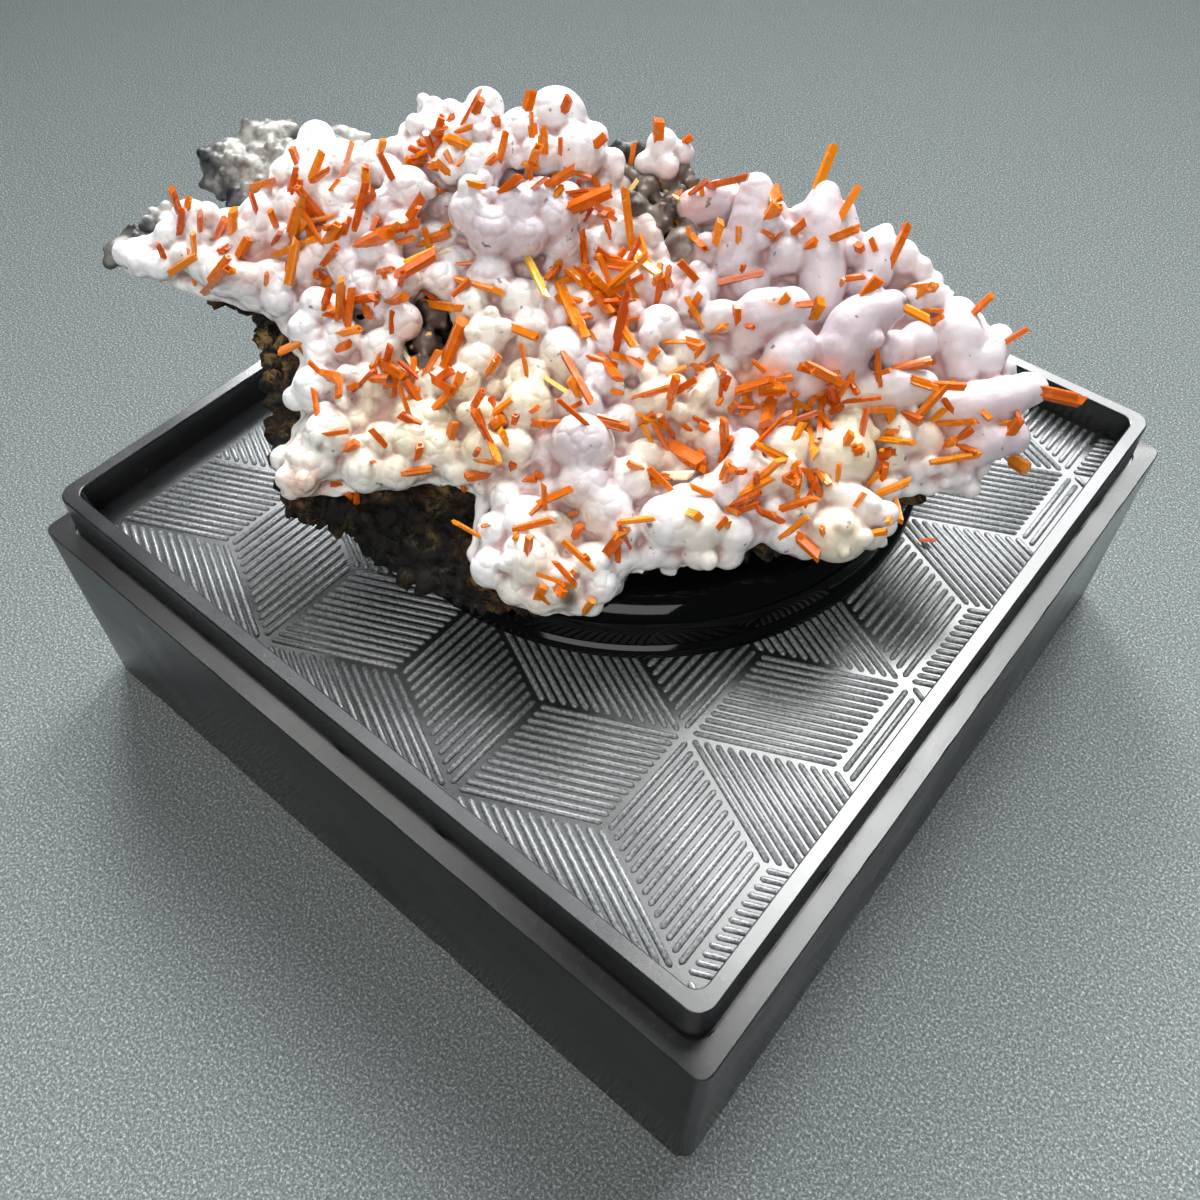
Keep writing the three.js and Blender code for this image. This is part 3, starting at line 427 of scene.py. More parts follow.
# The tree sweeps a flattened circle along every line, as wide as the line's swell says.
rib_tree, given = new_tree("floor_ribs", {"Rib width": "Float", "Rib height": "Float"})
lines = add_node(rib_tree, "GeometryNodeMeshToCurve", {"Mesh": given["Geometry"]})
circle = add_node(rib_tree, "GeometryNodeCurvePrimitiveCircle", {"Resolution": 8, "Radius": 0.5})
size = add_node(rib_tree, "ShaderNodeCombineXYZ", {
    "X": given["Rib width"],
    "Y": given["Rib height"],
    "Z": 1,
})
flattened = add_node(rib_tree, "GeometryNodeTransform", {
    "Geometry": circle.outputs["Curve"],
    "Scale": size.outputs["Vector"],
})
sweep = add_node(rib_tree, "GeometryNodeCurveToMesh", {
    "Curve": lines.outputs["Curve"],
    "Profile Curve": flattened.outputs["Geometry"],
    "Scale": value_of(rib_tree, "swell"),
    "Fill Caps": True,
})
end_tree(rib_tree, given, sweep.outputs["Mesh"])

satin_plastic = new_material("satin_rib_plastic", (0.025, 0.027, 0.028), 0.32)
texture = noise_node(satin_plastic, scale=5000, detail=4, roughness=0.7)
rib_tone = ramp_node(satin_plastic, texture, (0.42, (0.08, 0.088, 0.091)), (0.6, (0.22, 0.235, 0.24)))
shade(satin_plastic, {
    "Base Color": rib_tone,
    "Roughness": grey_ramp(satin_plastic, texture, (0.35, 0.24), (0.7, 0.44)),
    "Normal": bump_node(satin_plastic, texture, strength=0.5, distance=0.04 * mm),
    "IOR": 1.8,
})

rib_lines = bpy.data.meshes.new("floor_ribs")
rib_lines.from_pydata(rib_points, rib_edges, [])
rib_lines.attributes.new("swell", "FLOAT", "POINT").data.foreach_set("value", rib_swell)
rib_sizes = {"Rib width": rib_width, "Rib height": rib_height, "Finish": satin_plastic}
floor_ribs = grown(new_object("floor_ribs", rib_lines), rib_tree, rib_sizes)
smooth_faces(floor_ribs.data, 70)
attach(floor_ribs, "root")


# ---- Display puck ----
# A low round plug of polished black plastic with a soft upper edge and a thin lip at its
# foot. It lies loose on the floor and keeps the specimen clear of it.

puck_low, puck_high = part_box("display_puck")
centre = (puck_low + puck_high) / 2
radius = (puck_high.x - puck_low.x) / 2
lip = 0.35 * mm
soft_edge = 2.2 * mm
flat = radius - lip - soft_edge
sides_of_puck = 128
puck_profile = [
    # distance from the middle, height
    (radius - 0.5 * mm, puck_low.z),
    (radius - 0.1 * mm, puck_low.z),
    (radius, puck_low.z + 0.1 * mm),
    (radius, puck_low.z + 0.6 * mm),
    (radius - 0.1 * mm, puck_low.z + 0.75 * mm),
    (radius - lip, puck_low.z + 0.95 * mm),
]
steps_round_edge = 10
for step in range(steps_round_edge + 1):
    angle = step / steps_round_edge * math.pi / 2
    height = puck_high.z - soft_edge + soft_edge * math.sin(angle)
    puck_profile.append((flat + soft_edge * math.cos(angle), height))
puck_profile += [(flat * share, puck_high.z) for share in (0.8, 0.6, 0.4, 0.2)]
puck_points = []
for reach, height in puck_profile:
    for side in range(sides_of_puck):
        angle = 2 * math.pi * side / sides_of_puck
        puck_points.append((centre.x + reach * math.cos(angle), centre.y + reach * math.sin(angle), height))

polished_black = new_material("polished_black", (0.002, 0.0022, 0.0025), 0.06)
scuff = noise_node(polished_black, scale=400, detail=5, roughness=0.65)
shade(polished_black, {
    "Roughness": grey_ramp(polished_black, scuff, (0.45, 0.04), (0.8, 0.2)),
    "Normal": bump_node(polished_black, scuff, strength=0.05, distance=0.1 * mm),
    "IOR": 1.28,
})
puck_faces = ring_faces(len(puck_profile), sides_of_puck)
puck = object_of("polished_puck", puck_points, puck_faces, polished_black, 35)
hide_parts("display_puck")
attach(puck, "root")


# ---- Gibbsite crust ----
# White waxy gibbsite that grew as fused balls and fingers over the front of the rock. It
# is one thin knobbly sheet with small open pits, tinted lilac, cream and rust in places.
# Painted shade darkens its creases, and with the lilac also its right side and the mass under
# the knob. Painted light whitens its left side.

# The crust grows off a leaning face, everywhere towards one far point on its open side. Its
# own millimetres run along the face: x to the right, y up the slope, and lift off it.
specimen_turn = Matrix.Rotation(math.pi / 4, 3, "Z")
open_side = Vector((-6, -52, 53))
face_slope = 0.45
face_front = -16
face_foot = 3
over_face = 1.2


def place(x, y, lift):
    """A place on the leaning face, moved off it by lift millimetres."""
    spot = Vector((x, y, face_foot + face_slope * (y - face_front)))
    spot += (open_side - spot).normalized() * (lift + over_face)
    return (specimen_turn @ spot + Vector((0, 0, top))) * mm


def face_coordinates(points):
    """Where points in the room lie on the leaning face, seen along the way the crust grows."""
    seen_from = np.array(open_side)
    ray = (points / mm - np.array([0, 0, top])) @ np.array(specimen_turn) - seen_from
    face_height = face_foot - face_slope * face_front
    share = (face_height - open_side.z + face_slope * open_side.y) / (ray[:, 2] - face_slope * ray[:, 1])
    on_face = seen_from + ray * share[:, None]
    lift = (share - 1) * np.linalg.norm(ray, axis=1)
    return on_face[:, 0], on_face[:, 1], lift - over_face


# Rounded lobes: x and y on the face, height of the centre over it and radius, in millimetres.
lobes = [
    # left wing, a flat shell
    (-30.2, 7, 0.2, 0.85), (-29.1, 6.3, 0.3, 0.9), (-27.8, 6.1, 0.4, 1), (-26, 8.8, 0.6, 1.3),
    (-27.2, 7.9, 0.4, 1), (-25.4, 7.7, 0.6, 1.1), (-26.5, 6.6, 0.5, 0.9), (-25.2, 6, 0.5, 1.1),
    (-24, 5.3, 0.6, 1.3), (-22.8, 4.8, 0.7, 1.2), (-21.2, 5, 0.8, 1.1), (-23.7, 6.6, 0.6, 1),
    (-22.5, 7.6, 0.8, 1.1), (-21.7, 8.8, 1, 1.4), (-20.8, 3.6, 0.6, 1), (-24.2, 8.2, 0.5, 1),
    # upper left mass
    (-18.2, 13.6, 1.2, 1.2), (-19.1, 12.4, 1.3, 1.1), (-17.7, 12.4, 1.4, 1.3), (-20, 11.3, 1.3, 1.1),
    (-18.3, 10.9, 1.8, 1.6), (-16.5, 12.5, 1.2, 0.9), (-15.5, 11.5, 1.6, 1.4), (-16.2, 10.2, 1.7, 1.3),
    (-17.3, 9.4, 1.7, 1.3), (-20.9, 10.1, 1, 0.9), (-19.7, 9.4, 1.4, 1.1), (-14.5, 12.4, 1, 0.9),
    (-13.3, 12.7, 0.9, 0.8), (-13.9, 11.2, 1.4, 1.1), (-12.7, 10, 1.9, 1.5), (-14.3, 8.8, 1.7, 1.2),
    (-13.1, 7.6, 1.7, 1.2), (-15.8, 7.8, 1.7, 1.3), (-17, 7, 1.6, 1.2), (-18.2, 6.3, 1.4, 1.1),
    (-19.3, 5.4, 1.1, 1), (-20.5, 7.5, 1.1, 0.9), (-19.1, 8.2, 1.2, 0.9), (-16.6, 5.4, 1.4, 1.2),
    (-14.6, 6, 1.6, 1.3), (-15.6, 3.9, 1.3, 1.2), (-13.5, 4.4, 1.6, 1.4), (-14.6, 2.8, 1.1, 1),
    (-13.3, 1.8, 1.2, 1.2), (-14.7, 0.2, 0.7, 1.2),
    # left side below the wing
    (-18.4, 3, 1.3, 1.2), (-17.2, 2.9, 1.3, 0.8), (-19.2, 1.6, 1, 1.2), (-17.1, 1, 0.8, 1.2),
    (-18.4, 0, 0.7, 1), (-18.7, -2, 0.9, 1.4), (-17.5, -2.2, 0.8, 1), (-18.1, -4.7, 1.2, 1.5),
    (-18.9, -6.2, 0.9, 1.2), (-19.8, -5.8, 0.6, 0.9), (-20.5, -7, 0.4, 0.8), (-19.6, -7.3, 0.5, 0.8),
    (-16.4, -4, 0.4, 0.9), (-15.5, -1.8, 0.3, 1.3),
    # cream shelf above the front notch
    (-14.8, -5.4, 0.5, 1.3), (-13, -5.4, 0.6, 1.5), (-13, -3.8, 0.4, 1.1), (-16, -6.8, 0.5, 1.3),
    (-14, -7, 0.4, 1.2), (-11.6, -6, 0.5, 1.3), (-12, -4.2, 0.5, 1.3), (-11.8, -2.2, 0.5, 1.1),
    (-10, -2.2, 0.8, 1.2), (-9, -4.2, 0.6, 1.3), (-9, -6.2, 0.7, 1.3), (-7.1, -6.2, 1, 1.3),
    (-6.1, -3.9, 0.9, 1.7), (-6, -2.2, 0.8, 1.3), (-5.1, -6.6, 0.4, 1.2), (-10.6, -7.2, 0.3, 0.9),
    # middle
    (-10.9, 4.3, 0.7, 1), (-9.2, 2.6, 0.6, 1.2), (-7.8, 4.1, 0.8, 1.4), (-6, 2.5, 0.5, 1.5),
    (-8.2, 0.6, 0.9, 1.4), (-8.9, -0.9, 0.8, 1.3), (-5.7, 0.9, 0.4, 1.4), (-3.4, -0.8, 0.6, 1.7),
    (-2, 1.8, 0.3, 1.1), (-0.8, -0.2, 0.5, 1.4), (-3.2, 5.9, 0.9, 1.2), (-0.9, 6, 0.4, 1),
    (0.3, 6.6, 0.6, 1), (1.1, 4.3, -0.1, 1), (0.7, 1.5, 0.4, 0.9), (2.4, 0.5, 1, 1.4),
    (2.7, 2.4, 0.2, 0.8), (0.8, -1.6, 0.6, 1.1), (2.4, -2.2, 0.7, 0.9), (5.2, 2.7, 0.9, 1.2),
    (4, -1.1, 0.4, 1.3), (-2.9, -4.1, 0.9, 1.4), (-1.7, -2.5, 0.7, 1.2), (0.7, -7.2, 0.6, 1.1),
    (1.8, -4, 0.6, 1.5), (3.7, -4.8, 0.4, 1.2), (5.4, -3.6, 0.7, 1.4), (-0.5, -5, 0.4, 1.1),
    # one large smooth ball in the middle, and the balls below it
    (-3, -6.2, 1.9, 1.75), (-3, -8.5, 1.2, 1.7), (-0.5, -8.4, 1, 1.4), (-2, -10, 1.1, 1.5),
    (-4.9, -9, 0.2, 1.1), (-1.3, -11.1, 0.7, 1.3),
    # top knob
    (-2.8, 14.3, 2, 2), (-5.1, 13.6, 2.2, 1.4), (-7.4, 15.2, 1.5, 1.2), (-8.2, 13.5, 2.2, 1.6),
    (-6.4, 12.3, 2.3, 1.1), (-8, 11.3, 2.3, 1.5), (-10, 11.8, 1.8, 1.2), (-10.8, 13.9, 1.5, 1.3),
    (-11, 15.2, 1.1, 0.8), (-9.6, 15.1, 1.4, 0.8), (-11.8, 12.5, 1.3, 0.9), (-4, 11.9, 2.5, 1.2),
    (-1.7, 11.9, 2.2, 1.6), (0.5, 11.2, 1.3, 0.9), (-0.5, 12.9, 1.5, 0.9), (-12.3, 13.8, 0.9, 0.7),
    # drooping mass under the knob
    (-7.8, 9.9, 2.2, 0.9), (-8.7, 8.4, 2.4, 1.5), (-7.4, 7.1, 2.2, 1.6), (-5.8, 8.4, 2.8, 1.6),
    (-4.2, 9, 2.6, 1.4), (-2.7, 9, 2.4, 1), (-5.5, 6.7, 2.2, 1.4), (-3.5, 7.6, 2.3, 1.3),
    (-2.3, 8.1, 2.1, 0.9), (-6.6, 6, 1.7, 1),
    # back edge, right of the knob
    (3.8, 12.1, 1.3, 1), (2.6, 10.9, 0.8, 0.7), (5.2, 11.5, 0.9, 0.7), (3.9, 10.6, 0.9, 0.9),
    # among the fingers
    (5.2, 1.6, 0.8, 0.9), (10.9, 4.6, 2, 1.3), (9.9, 3.9, 1.4, 0.8), (8.4, 3, 0.9, 1.2),
    (18.3, 4, 1.6, 1.1), (19.3, 3.1, 1.3, 0.8), (20.1, 2.3, 1, 0.6), (18.7, 1.1, 1.2, 1.1),
    (19.7, 1.2, 1.3, 1.1), (16.8, -1.9, 1.4, 1.3), (18.4, -1.4, 1.4, 1.2), (15.6, 2.2, 1.2, 1.1),
    (16.6, -6.9, 0.8, 1.3), (17.8, -7.3, 0.7, 1.1), (15.6, -8.2, 0.4, 0.9), (18.6, -9, 0.1, 0.8),
    (19.8, -9.4, 0, 0.7), (19.6, -7.8, 0.4, 0.9), (20.2, -10.3, -0.2, 0.6), (11, -3.4, 1.3, 1.1),
    # lower right
    (12.5, -7.9, 1, 2.1), (13.4, -6.5, 0.8, 1.3), (9.4, -7.4, 0.8, 1.5), (8.9, -8.8, 0.8, 1.4),
    (11.7, -12.3, 0.9, 1.8), (9.6, -10.7, 0.5, 1.3), (8, -10.8, 0.5, 1.1), (13.6, -12.4, 0.3, 0.9),
    (6.2, -10.6, 0.5, 1), (15.2, -10, 0.1, 0.8), (8.6, -12.3, 0.3, 1), (4.9, -6.3, 0.5, 1.2),
    # front tip
    (-6.6, -10.4, 0.7, 1.5), (-7.8, -9, 0.5, 1), (-8.6, -10.7, 0.3, 1.1), (-9, -12.8, 0.2, 1.1),
    (-6.6, -12.5, 0.7, 1.7), (-5.1, -13.9, 0.6, 1.5), (-3.1, -12.9, 0.8, 1.2), (-5, -11, 0.5, 1.1),
    (-7.7, -14, 0.2, 1), (-6.2, -14.6, 0.2, 1), (-2.7, -14.2, 0.4, 1.1), (-4, -15, 0.1, 0.8),
    # large ball group at the front edge
    (1.6, -11, 1.4, 1.6), (3.4, -11.3, 1.6, 1.6), (5.4, -11.9, 1.1, 1.3), (2.6, -10.1, 1.2, 1.3),
    (4.1, -9.5, 1, 1.2), (3.4, -12.8, 0.8, 1.1), (0.7, -12.6, 0.5, 0.8), (5, -13, 0.4, 0.9),
]

# Fingers, each a run of places from its root to its tip: x, y, height and radius.
fingers = [
    [(7.6, 4.2, 1.2, 1.4), (9, 6.5, 2.6, 1.4), (9.5, 8.7, 3.6, 1.1)],  # tall finger
    [(5.8, 4.4, 0.8, 0.8), (7.4, 5.6, 1.6, 0.8)],  # its left root
    [(5.4, 7.9, 1, 1.1), (7.4, 8.3, 1.4, 1.2)],  # short one behind it
    [(11.2, 5, 2.2, 0.6), (10.8, 7.6, 3.2, 0.5)],  # gritty rim along its right side
    [(8, -0.2, 1.2, 1.3), (8.7, 0.9, 2.2, 1.5), (10.7, 1.2, 3, 1.2)],  # ball with a broken top
    [(5.9, 0.8, 1.8, 0.9), (6.4, 1, 2.1, 0.95)],  # small round ball
    [(4.6, 1.8, 1, 0.8), (5.4, 2.9, 1.6, 0.9)],  # ball above it
    [(12.7, 1.2, 0.9, 1.2), (13, 3, 1.6, 1.4), (13.3, 5, 2.3, 1.4), (13.4, 6.8, 3, 1.35),
     (13.9, 8.1, 3.5, 0.9)],
    [(14.8, 4.3, 2, 0.8), (15, 5.8, 2.4, 0.8), (15.2, 7.2, 2.8, 0.6)],  # branches of the second finger
    [(11.9, 5.4, 1.8, 0.7), (12.2, 6.9, 2.5, 0.8)],
    [(16.3, 3.1, 1.4, 1.2), (16.8, 4.7, 1.9, 1.1), (17.5, 5.7, 2.2, 0.5)],  # thin shell
    [(13, -2.8, 1.2, 1.5), (13.6, -1.6, 2.2, 1.75), (14.8, -0.1, 3.2, 1.6), (16, 0.6, 3.9, 1.2),
     (17.1, 0.9, 4.3, 0.9)],
    [(9.2, -3, 1, 1.4), (10.1, -1.9, 2, 1.4), (11.1, -0.9, 2.7, 0.9)],  # stub in front
    [(13.2, -4.4, 0.8, 1.2), (14.8, -4.3, 1.2, 1.2), (16.5, -4.2, 1.6, 1.2), (18.2, -4.2, 1.8, 1.05)],
    [(19.2, -5.5, 1, 1.1), (21, -5.6, 1.4, 1.4), (23, -5.2, 1.7, 1.35), (24.9, -4.7, 1.8, 1.05)],
    [(21, -3, 1, 1.2), (21, -1.4, 1.5, 1.5), (21.2, 0.1, 1.6, 1.1)],  # right edge
    [(22.4, -2.8, 1.2, 1.2), (23.5, -1.5, 1.4, 0.9)],
    [(19.8, -7, 0.4, 1), (21.2, -7.7, 0.8, 1.3), (23.2, -7.5, 1, 1.05)],  # lower right lobe
    [(5.3, -9.4, 1.1, 1.3), (6.6, -8, 1.7, 1), (6.9, -6.7, 1.7, 0.8)],  # forked lobe
    [(6.6, -8.2, 1.6, 1), (7.7, -8.9, 1.5, 0.95)],
    [(11.9, -10, 1.3, 0.9), (12.9, -10.6, 1.6, 1.05), (13.8, -11.2, 1.7, 0.95)],  # white finger
]

# Outline of the crust on the face from the tip of the wing, and the pits where it never
# closed over the rock: x, y and radius.
crust_outline = [
    (-30.9, 7.6), (-30.5, 6.3), (-29.8, 5.7), (-28.2, 5.1), (-25.2, 4), (-21.6, 2.8), (-20.4, 1.4),
    (-19.7, 0), (-19.8, -2), (-19.7, -3.6), (-20.6, -5), (-21.3, -7.2), (-20.6, -8.2), (-17.5, -8.2),
    (-15, -7.9), (-12.5, -8), (-11, -8), (-9.7, -8.9), (-9.8, -10.4), (-10.3, -12), (-9.5, -13.7),
    (-7.6, -15), (-6, -15.7), (-4.4, -16), (-2.8, -15.6), (-1.6, -14.8), (-0.7, -13.8), (1.6, -13.8),
    (3, -13.9), (5.4, -13.8), (6.6, -12.6), (9, -13.4), (12, -14), (14.4, -13), (15.4, -10.8),
    (18.4, -10.4), (20.6, -10.6), (21.4, -9), (23.6, -8.4), (24.2, -6.6), (25.6, -4.8), (24.2, -3.4),
    (23.6, -1), (21.6, 1), (20, 2.8), (18.4, 4.6), (16.4, 5.6), (14.5, 6.6), (12.5, 6.6), (10.5, 7.2),
    (8.5, 8), (6, 8.8), (3, 10.6), (0.5, 11.4), (-1, 12.4), (-4, 13.6), (-8, 14.4), (-12, 14.2),
    (-13.4, 12.6), (-15, 12), (-18, 13), (-20.3, 12), (-21.3, 10.4), (-24, 9.2), (-27, 9.6), (-29, 8.2),
]
pits = [
    (-12, 0, 1.3), (-11.7, 1.5, 1.2), (-11.4, 2.8, 0.9), (4, 10.2, 1.2), (3.2, 8.6, 1.4), (4.6, 6.8, 1.1),
]


def sides_of(outline):
    return zip(outline, outline[1:] + outline[:1])


def inside_outline(x, y, outline):
    """Which places lie inside an outline."""
    inside = np.zeros(np.shape(x), dtype=bool)
    for (x1, y1), (x2, y2) in sides_of(outline):
        if y1 != y2:
            inside = inside ^ (((y1 > y) != (y2 > y)) & (x < x1 + (y - y1) / (y2 - y1) * (x2 - x1)))
    return inside


def distance_to_outline(x, y, outline):
    """How far places are from the nearest side of an outline."""
    near = np.full(np.shape(x), np.inf)
    for (x1, y1), (x2, y2) in sides_of(outline):
        side_x, side_y = x2 - x1, y2 - y1
        share = np.clip(((x - x1) * side_x + (y - y1) * side_y) / (side_x ** 2 + side_y ** 2), 0, 1)
        near = np.minimum(near, np.hypot(x1 + side_x * share - x, y1 + side_y * share - y))
    return near


def clear_of_pits(x, y, gap):
    """Which places keep a gap from every pit."""
    clear = np.ones(np.shape(x), dtype=bool)
    for pit_x, pit_y, pit_radius in pits:
        clear &= np.hypot(x - pit_x, y - pit_y) > pit_radius + gap
    return clear


def on_thin_side(x, y):
    """Which places lie on the left and front side, where the sheet thins out to its lip."""
    return (x < -1) & (y < 6.6)


# Each finger is a run of balls from its root to its tip, close enough to fuse.
balls = list(lobes)
balls_per_stretch = 6
for finger in fingers:
    for here, further in zip(finger, finger[1:]):
        for step in range(balls_per_stretch):
            share = step / (balls_per_stretch - 1)
            balls.append(tuple(a + (b - a) * share for a, b in zip(here, further)))

# A felt of fused balls fills the sheet between them, smaller and lower along its edge.
draw = np.random.default_rng(11)
left, right, front, back = -32, 28, -17, 16
felt_rows, felt_columns = 32, 50
felt_gap = 1.2
row_gap = 0.87
jitter = 0.3
felt_sizes, usual_size, felt_lift = [0.72, 0.8, 0.9, 1.05, 1.2], 0.8, (-0.35, 0.25)
edge_width, edge_sizes, edge_lift = 0.9, (0.55, 0.8), -0.8
thin_side_margin, thick_side_margin = 0.95, 0.45
row, column = np.meshgrid(np.arange(felt_rows), np.arange(felt_columns), indexing="ij")
x = left + (column + row % 2 / 2).ravel() * felt_gap + draw.uniform(-jitter, jitter, row.size)
y = front + row.ravel() * felt_gap * row_gap + draw.uniform(-jitter, jitter, row.size)
margin = distance_to_outline(x, y, crust_outline)
size = np.where(margin < edge_width, draw.uniform(*edge_sizes, x.size), draw.choice(felt_sizes, x.size))
inner_lift = draw.uniform(*felt_lift, x.size) - (size - usual_size)
lift = np.where(margin < edge_width, edge_lift, inner_lift)
kept = inside_outline(x, y, crust_outline) & clear_of_pits(x, y, 0.35)
kept &= margin > np.where(on_thin_side(x, y), thin_side_margin, thick_side_margin)
felt = list(zip(x[kept], y[kept], lift[kept], size[kept]))

# Crumbs lie along the broken edge on the back and right.
crumb_tries, crumb_band, crumb_lift, crumb_radius = 9000, 0.7, (-1.25, -0.7), (0.16, 0.28)
x, y = draw.uniform(left, right, crumb_tries), draw.uniform(front, back, crumb_tries)
kept = inside_outline(x, y, crust_outline) & clear_of_pits(x, y, 0.2) & ~on_thin_side(x, y)
kept &= distance_to_outline(x, y, crust_outline) < crumb_band
crumbs = [(a, b, draw.uniform(*crumb_lift), draw.uniform(*crumb_radius)) for a, b in zip(x[kept], y[kept])]

# The thin wavy lip in which the sheet ends, from the wing's tip round to the front edge.
lip_balls = []
lip_gap = 0.2
lip_sides = 26
lip_radius = 0.42
waves_per_mm = 1.1
for (x1, y1), (x2, y2) in list(sides_of(crust_outline))[:lip_sides]:
    length = math.hypot(x2 - x1, y2 - y1)
    for step in range(int(length / lip_gap)):
        at_x = x1 + (x2 - x1) * step * lip_gap / length
        at_y = y1 + (y2 - y1) * step * lip_gap / length
        wave = noise.noise(Vector((at_x, at_y, 0)) * waves_per_mm)
        inset = lip_radius + 0.35 * wave
        at_x += (y1 - y2) / length * inset
        at_y += (x2 - x1) / length * inset
        lip_balls.append((at_x, at_y, -1.0 + 0.5 * wave, lip_radius - 0.12 * wave))


def cloud_of(name, points, values):
    """A mesh of loose points that carries a number or a vector of each kind for each point."""
    mesh = bpy.data.meshes.new(name)
    mesh.from_pydata([tuple(point) for point in points], [], [])
    for label, numbers in values.items():
        numbers = np.asarray(numbers, dtype=float)
        if numbers.ndim == 1:
            mesh.attributes.new(label, "FLOAT", "POINT").data.foreach_set("value", numbers)
        else:
            mesh.attributes.new(label, "FLOAT_VECTOR", "POINT").data.foreach_set("vector", numbers.ravel())
    return new_object(name, mesh)


def random_value(tree, low, high, seed, kind="FLOAT"):
    """A number or vector between two others, drawn anew for each point."""
    node = add_node(tree, "FunctionNodeRandomValue", {"Seed": seed}, data_type=kind)
    least, most = [socket for socket in node.inputs if socket.enabled][:2]
    feed(tree, least, low)
    feed(tree, most, high)
    return next(socket for socket in node.outputs if socket.enabled)


# One tree sets a slightly uneven ball on every point, as big as the point says.
ball_tree, given = new_tree("balls_on_points", {"Unevenness": "Float", "Ball detail": "Int", "Seed": "Int"})
ball = add_node(ball_tree, "GeometryNodeMeshIcoSphere", {"Radius": 1, "Subdivisions": given["Ball detail"]})
least = add_node(ball_tree, "ShaderNodeMath", {0: 1, 1: given["Unevenness"]}, operation="SUBTRACT")
most = add_node(ball_tree, "ShaderNodeMath", {0: 1, 1: given["Unevenness"]}, operation="ADD")
least, most = least.outputs["Value"], most.outputs["Value"]
stretch = random_value(ball_tree, least, most, given["Seed"], "FLOAT_VECTOR")
uneven_inputs = {0: stretch, "Scale": value_of(ball_tree, "radius")}
uneven = add_node(ball_tree, "ShaderNodeVectorMath", uneven_inputs, operation="SCALE")
placed = add_node(ball_tree, "GeometryNodeInstanceOnPoints", {
    "Points": given["Geometry"],
    "Instance": ball.outputs["Mesh"],
    "Scale": uneven.outputs["Vector"],
    "Rotation": random_value(ball_tree, (0, 0, 0), (6.28, 6.28, 6.28), given["Seed"], "FLOAT_VECTOR"),
})
end_tree(ball_tree, given, placed.outputs["Instances"])

# Another lets small balls bud on a surface where its buds value asks for them.
bud_sizes = ("Least gap", "Most per area", "Smallest", "Largest")
bud_tree, given = new_tree("buds_on_surface", {**dict.fromkeys(bud_sizes, "Float"), "Seed": "Int"})
bud = add_node(bud_tree, "GeometryNodeMeshIcoSphere", {"Radius": 1, "Subdivisions": 3})
scattered = add_node(bud_tree, "GeometryNodeDistributePointsOnFaces", {
    "Mesh": given["Geometry"],
    "Distance Min": given["Least gap"],
    "Density Max": given["Most per area"],
    "Density Factor": value_of(bud_tree, "buds"),
    "Seed": given["Seed"],
}, distribute_method="POISSON")
placed = add_node(bud_tree, "GeometryNodeInstanceOnPoints", {
    "Points": scattered.outputs["Points"],
    "Instance": bud.outputs["Mesh"],
    "Scale": random_value(bud_tree, given["Smallest"], given["Largest"], given["Seed"]),
})
end_tree(bud_tree, given, placed.outputs["Instances"])


def fused(made, voxel, smoothing=0, most_triangles=None):
    """The overlapping parts of an object made one even skin, thinned if it has too many triangles."""
    remesh = made.modifiers.new("fuse", "REMESH")
    remesh.mode = "VOXEL"
    remesh.voxel_size = voxel
    remesh.use_smooth_shade = True
    if smoothing:
        soften = made.modifiers.new("soften", "SMOOTH")
        soften.factor = 0.5
        soften.iterations = smoothing
    plain_mesh(made)
    triangles = 2 * len(made.data.polygons)
    if most_triangles and most_triangles < triangles:
        thin = made.modifiers.new("thin", "DECIMATE")
        thin.ratio = most_triangles / triangles
        plain_mesh(made)
        smooth_faces(made.data)
    return made


def joined(name, parts):
    """Several objects made one, with the loose ones removed."""
    together = bmesh.new()
    for part in parts:
        together.from_mesh(part.data)
    mesh = bpy.data.meshes.new(name)
    together.to_mesh(mesh)
    together.free()
    for material in parts[0].data.materials:
        mesh.materials.append(material)
    for part in parts:
        bpy.data.objects.remove(part)
    return new_object(name, mesh)


def points_of(mesh):
    points = np.empty(len(mesh.vertices) * 3)
    mesh.vertices.foreach_get("co", points)
    return points.reshape(-1, 3)


def normals_of(mesh):
    normals = np.empty(len(mesh.vertices) * 3)
    mesh.vertex_normals.foreach_get("vector", normals)
    return normals.reshape(-1, 3)


def smoothed(mesh, values, rounds):
    """Rows of values averaged with their neighbours' in a number of rounds."""
    edges = np.empty(len(mesh.edges) * 2, dtype=np.int64)
    mesh.edges.foreach_get("vertices", edges)
    one, two = edges.reshape(-1, 2).T
    total = len(mesh.vertices)
    neighbours = np.maximum(np.bincount(one, minlength=total) + np.bincount(two, minlength=total), 1)
    for _ in range(rounds):
        columns = []
        for column in values.T:
            around = np.bincount(one, column[two], total) + np.bincount(two, column[one], total)
            columns.append(0.5 * column + 0.5 * around / neighbours)
        values = np.array(columns).T
    return values


def hollowness(mesh, rounds):
    """How far each point lies below its surroundings, in millimetres."""
    points = points_of(mesh)
    return ((smoothed(mesh, points, rounds) - points) * normals_of(mesh)).sum(axis=1) / mm


def spots_at(x, y, spots):
    """How strongly round patches cover each point: x, y, radius, strength. Their rims fade out."""
    cover = np.zeros(len(x))
    for spot_x, spot_y, spot_radius, strength in spots:
        away = np.hypot(x - spot_x, y - spot_y) / spot_radius
        cover = np.maximum(cover, strength * np.clip(1.6 - 1.3 * away, 0, 1))
    return cover


def put_values(mesh, values):
    """Gives every point of a mesh its numbers, each kind under its own name."""
    for label, numbers in values.items():
        layer = mesh.attributes.get(label) or mesh.attributes.new(label, "FLOAT", "POINT")
        layer.data.foreach_set("value", np.ascontiguousarray(numbers, dtype=np.float32))


gibbsite = new_material("waxy_gibbsite", (0.84, 0.81, 0.81), 0.4)

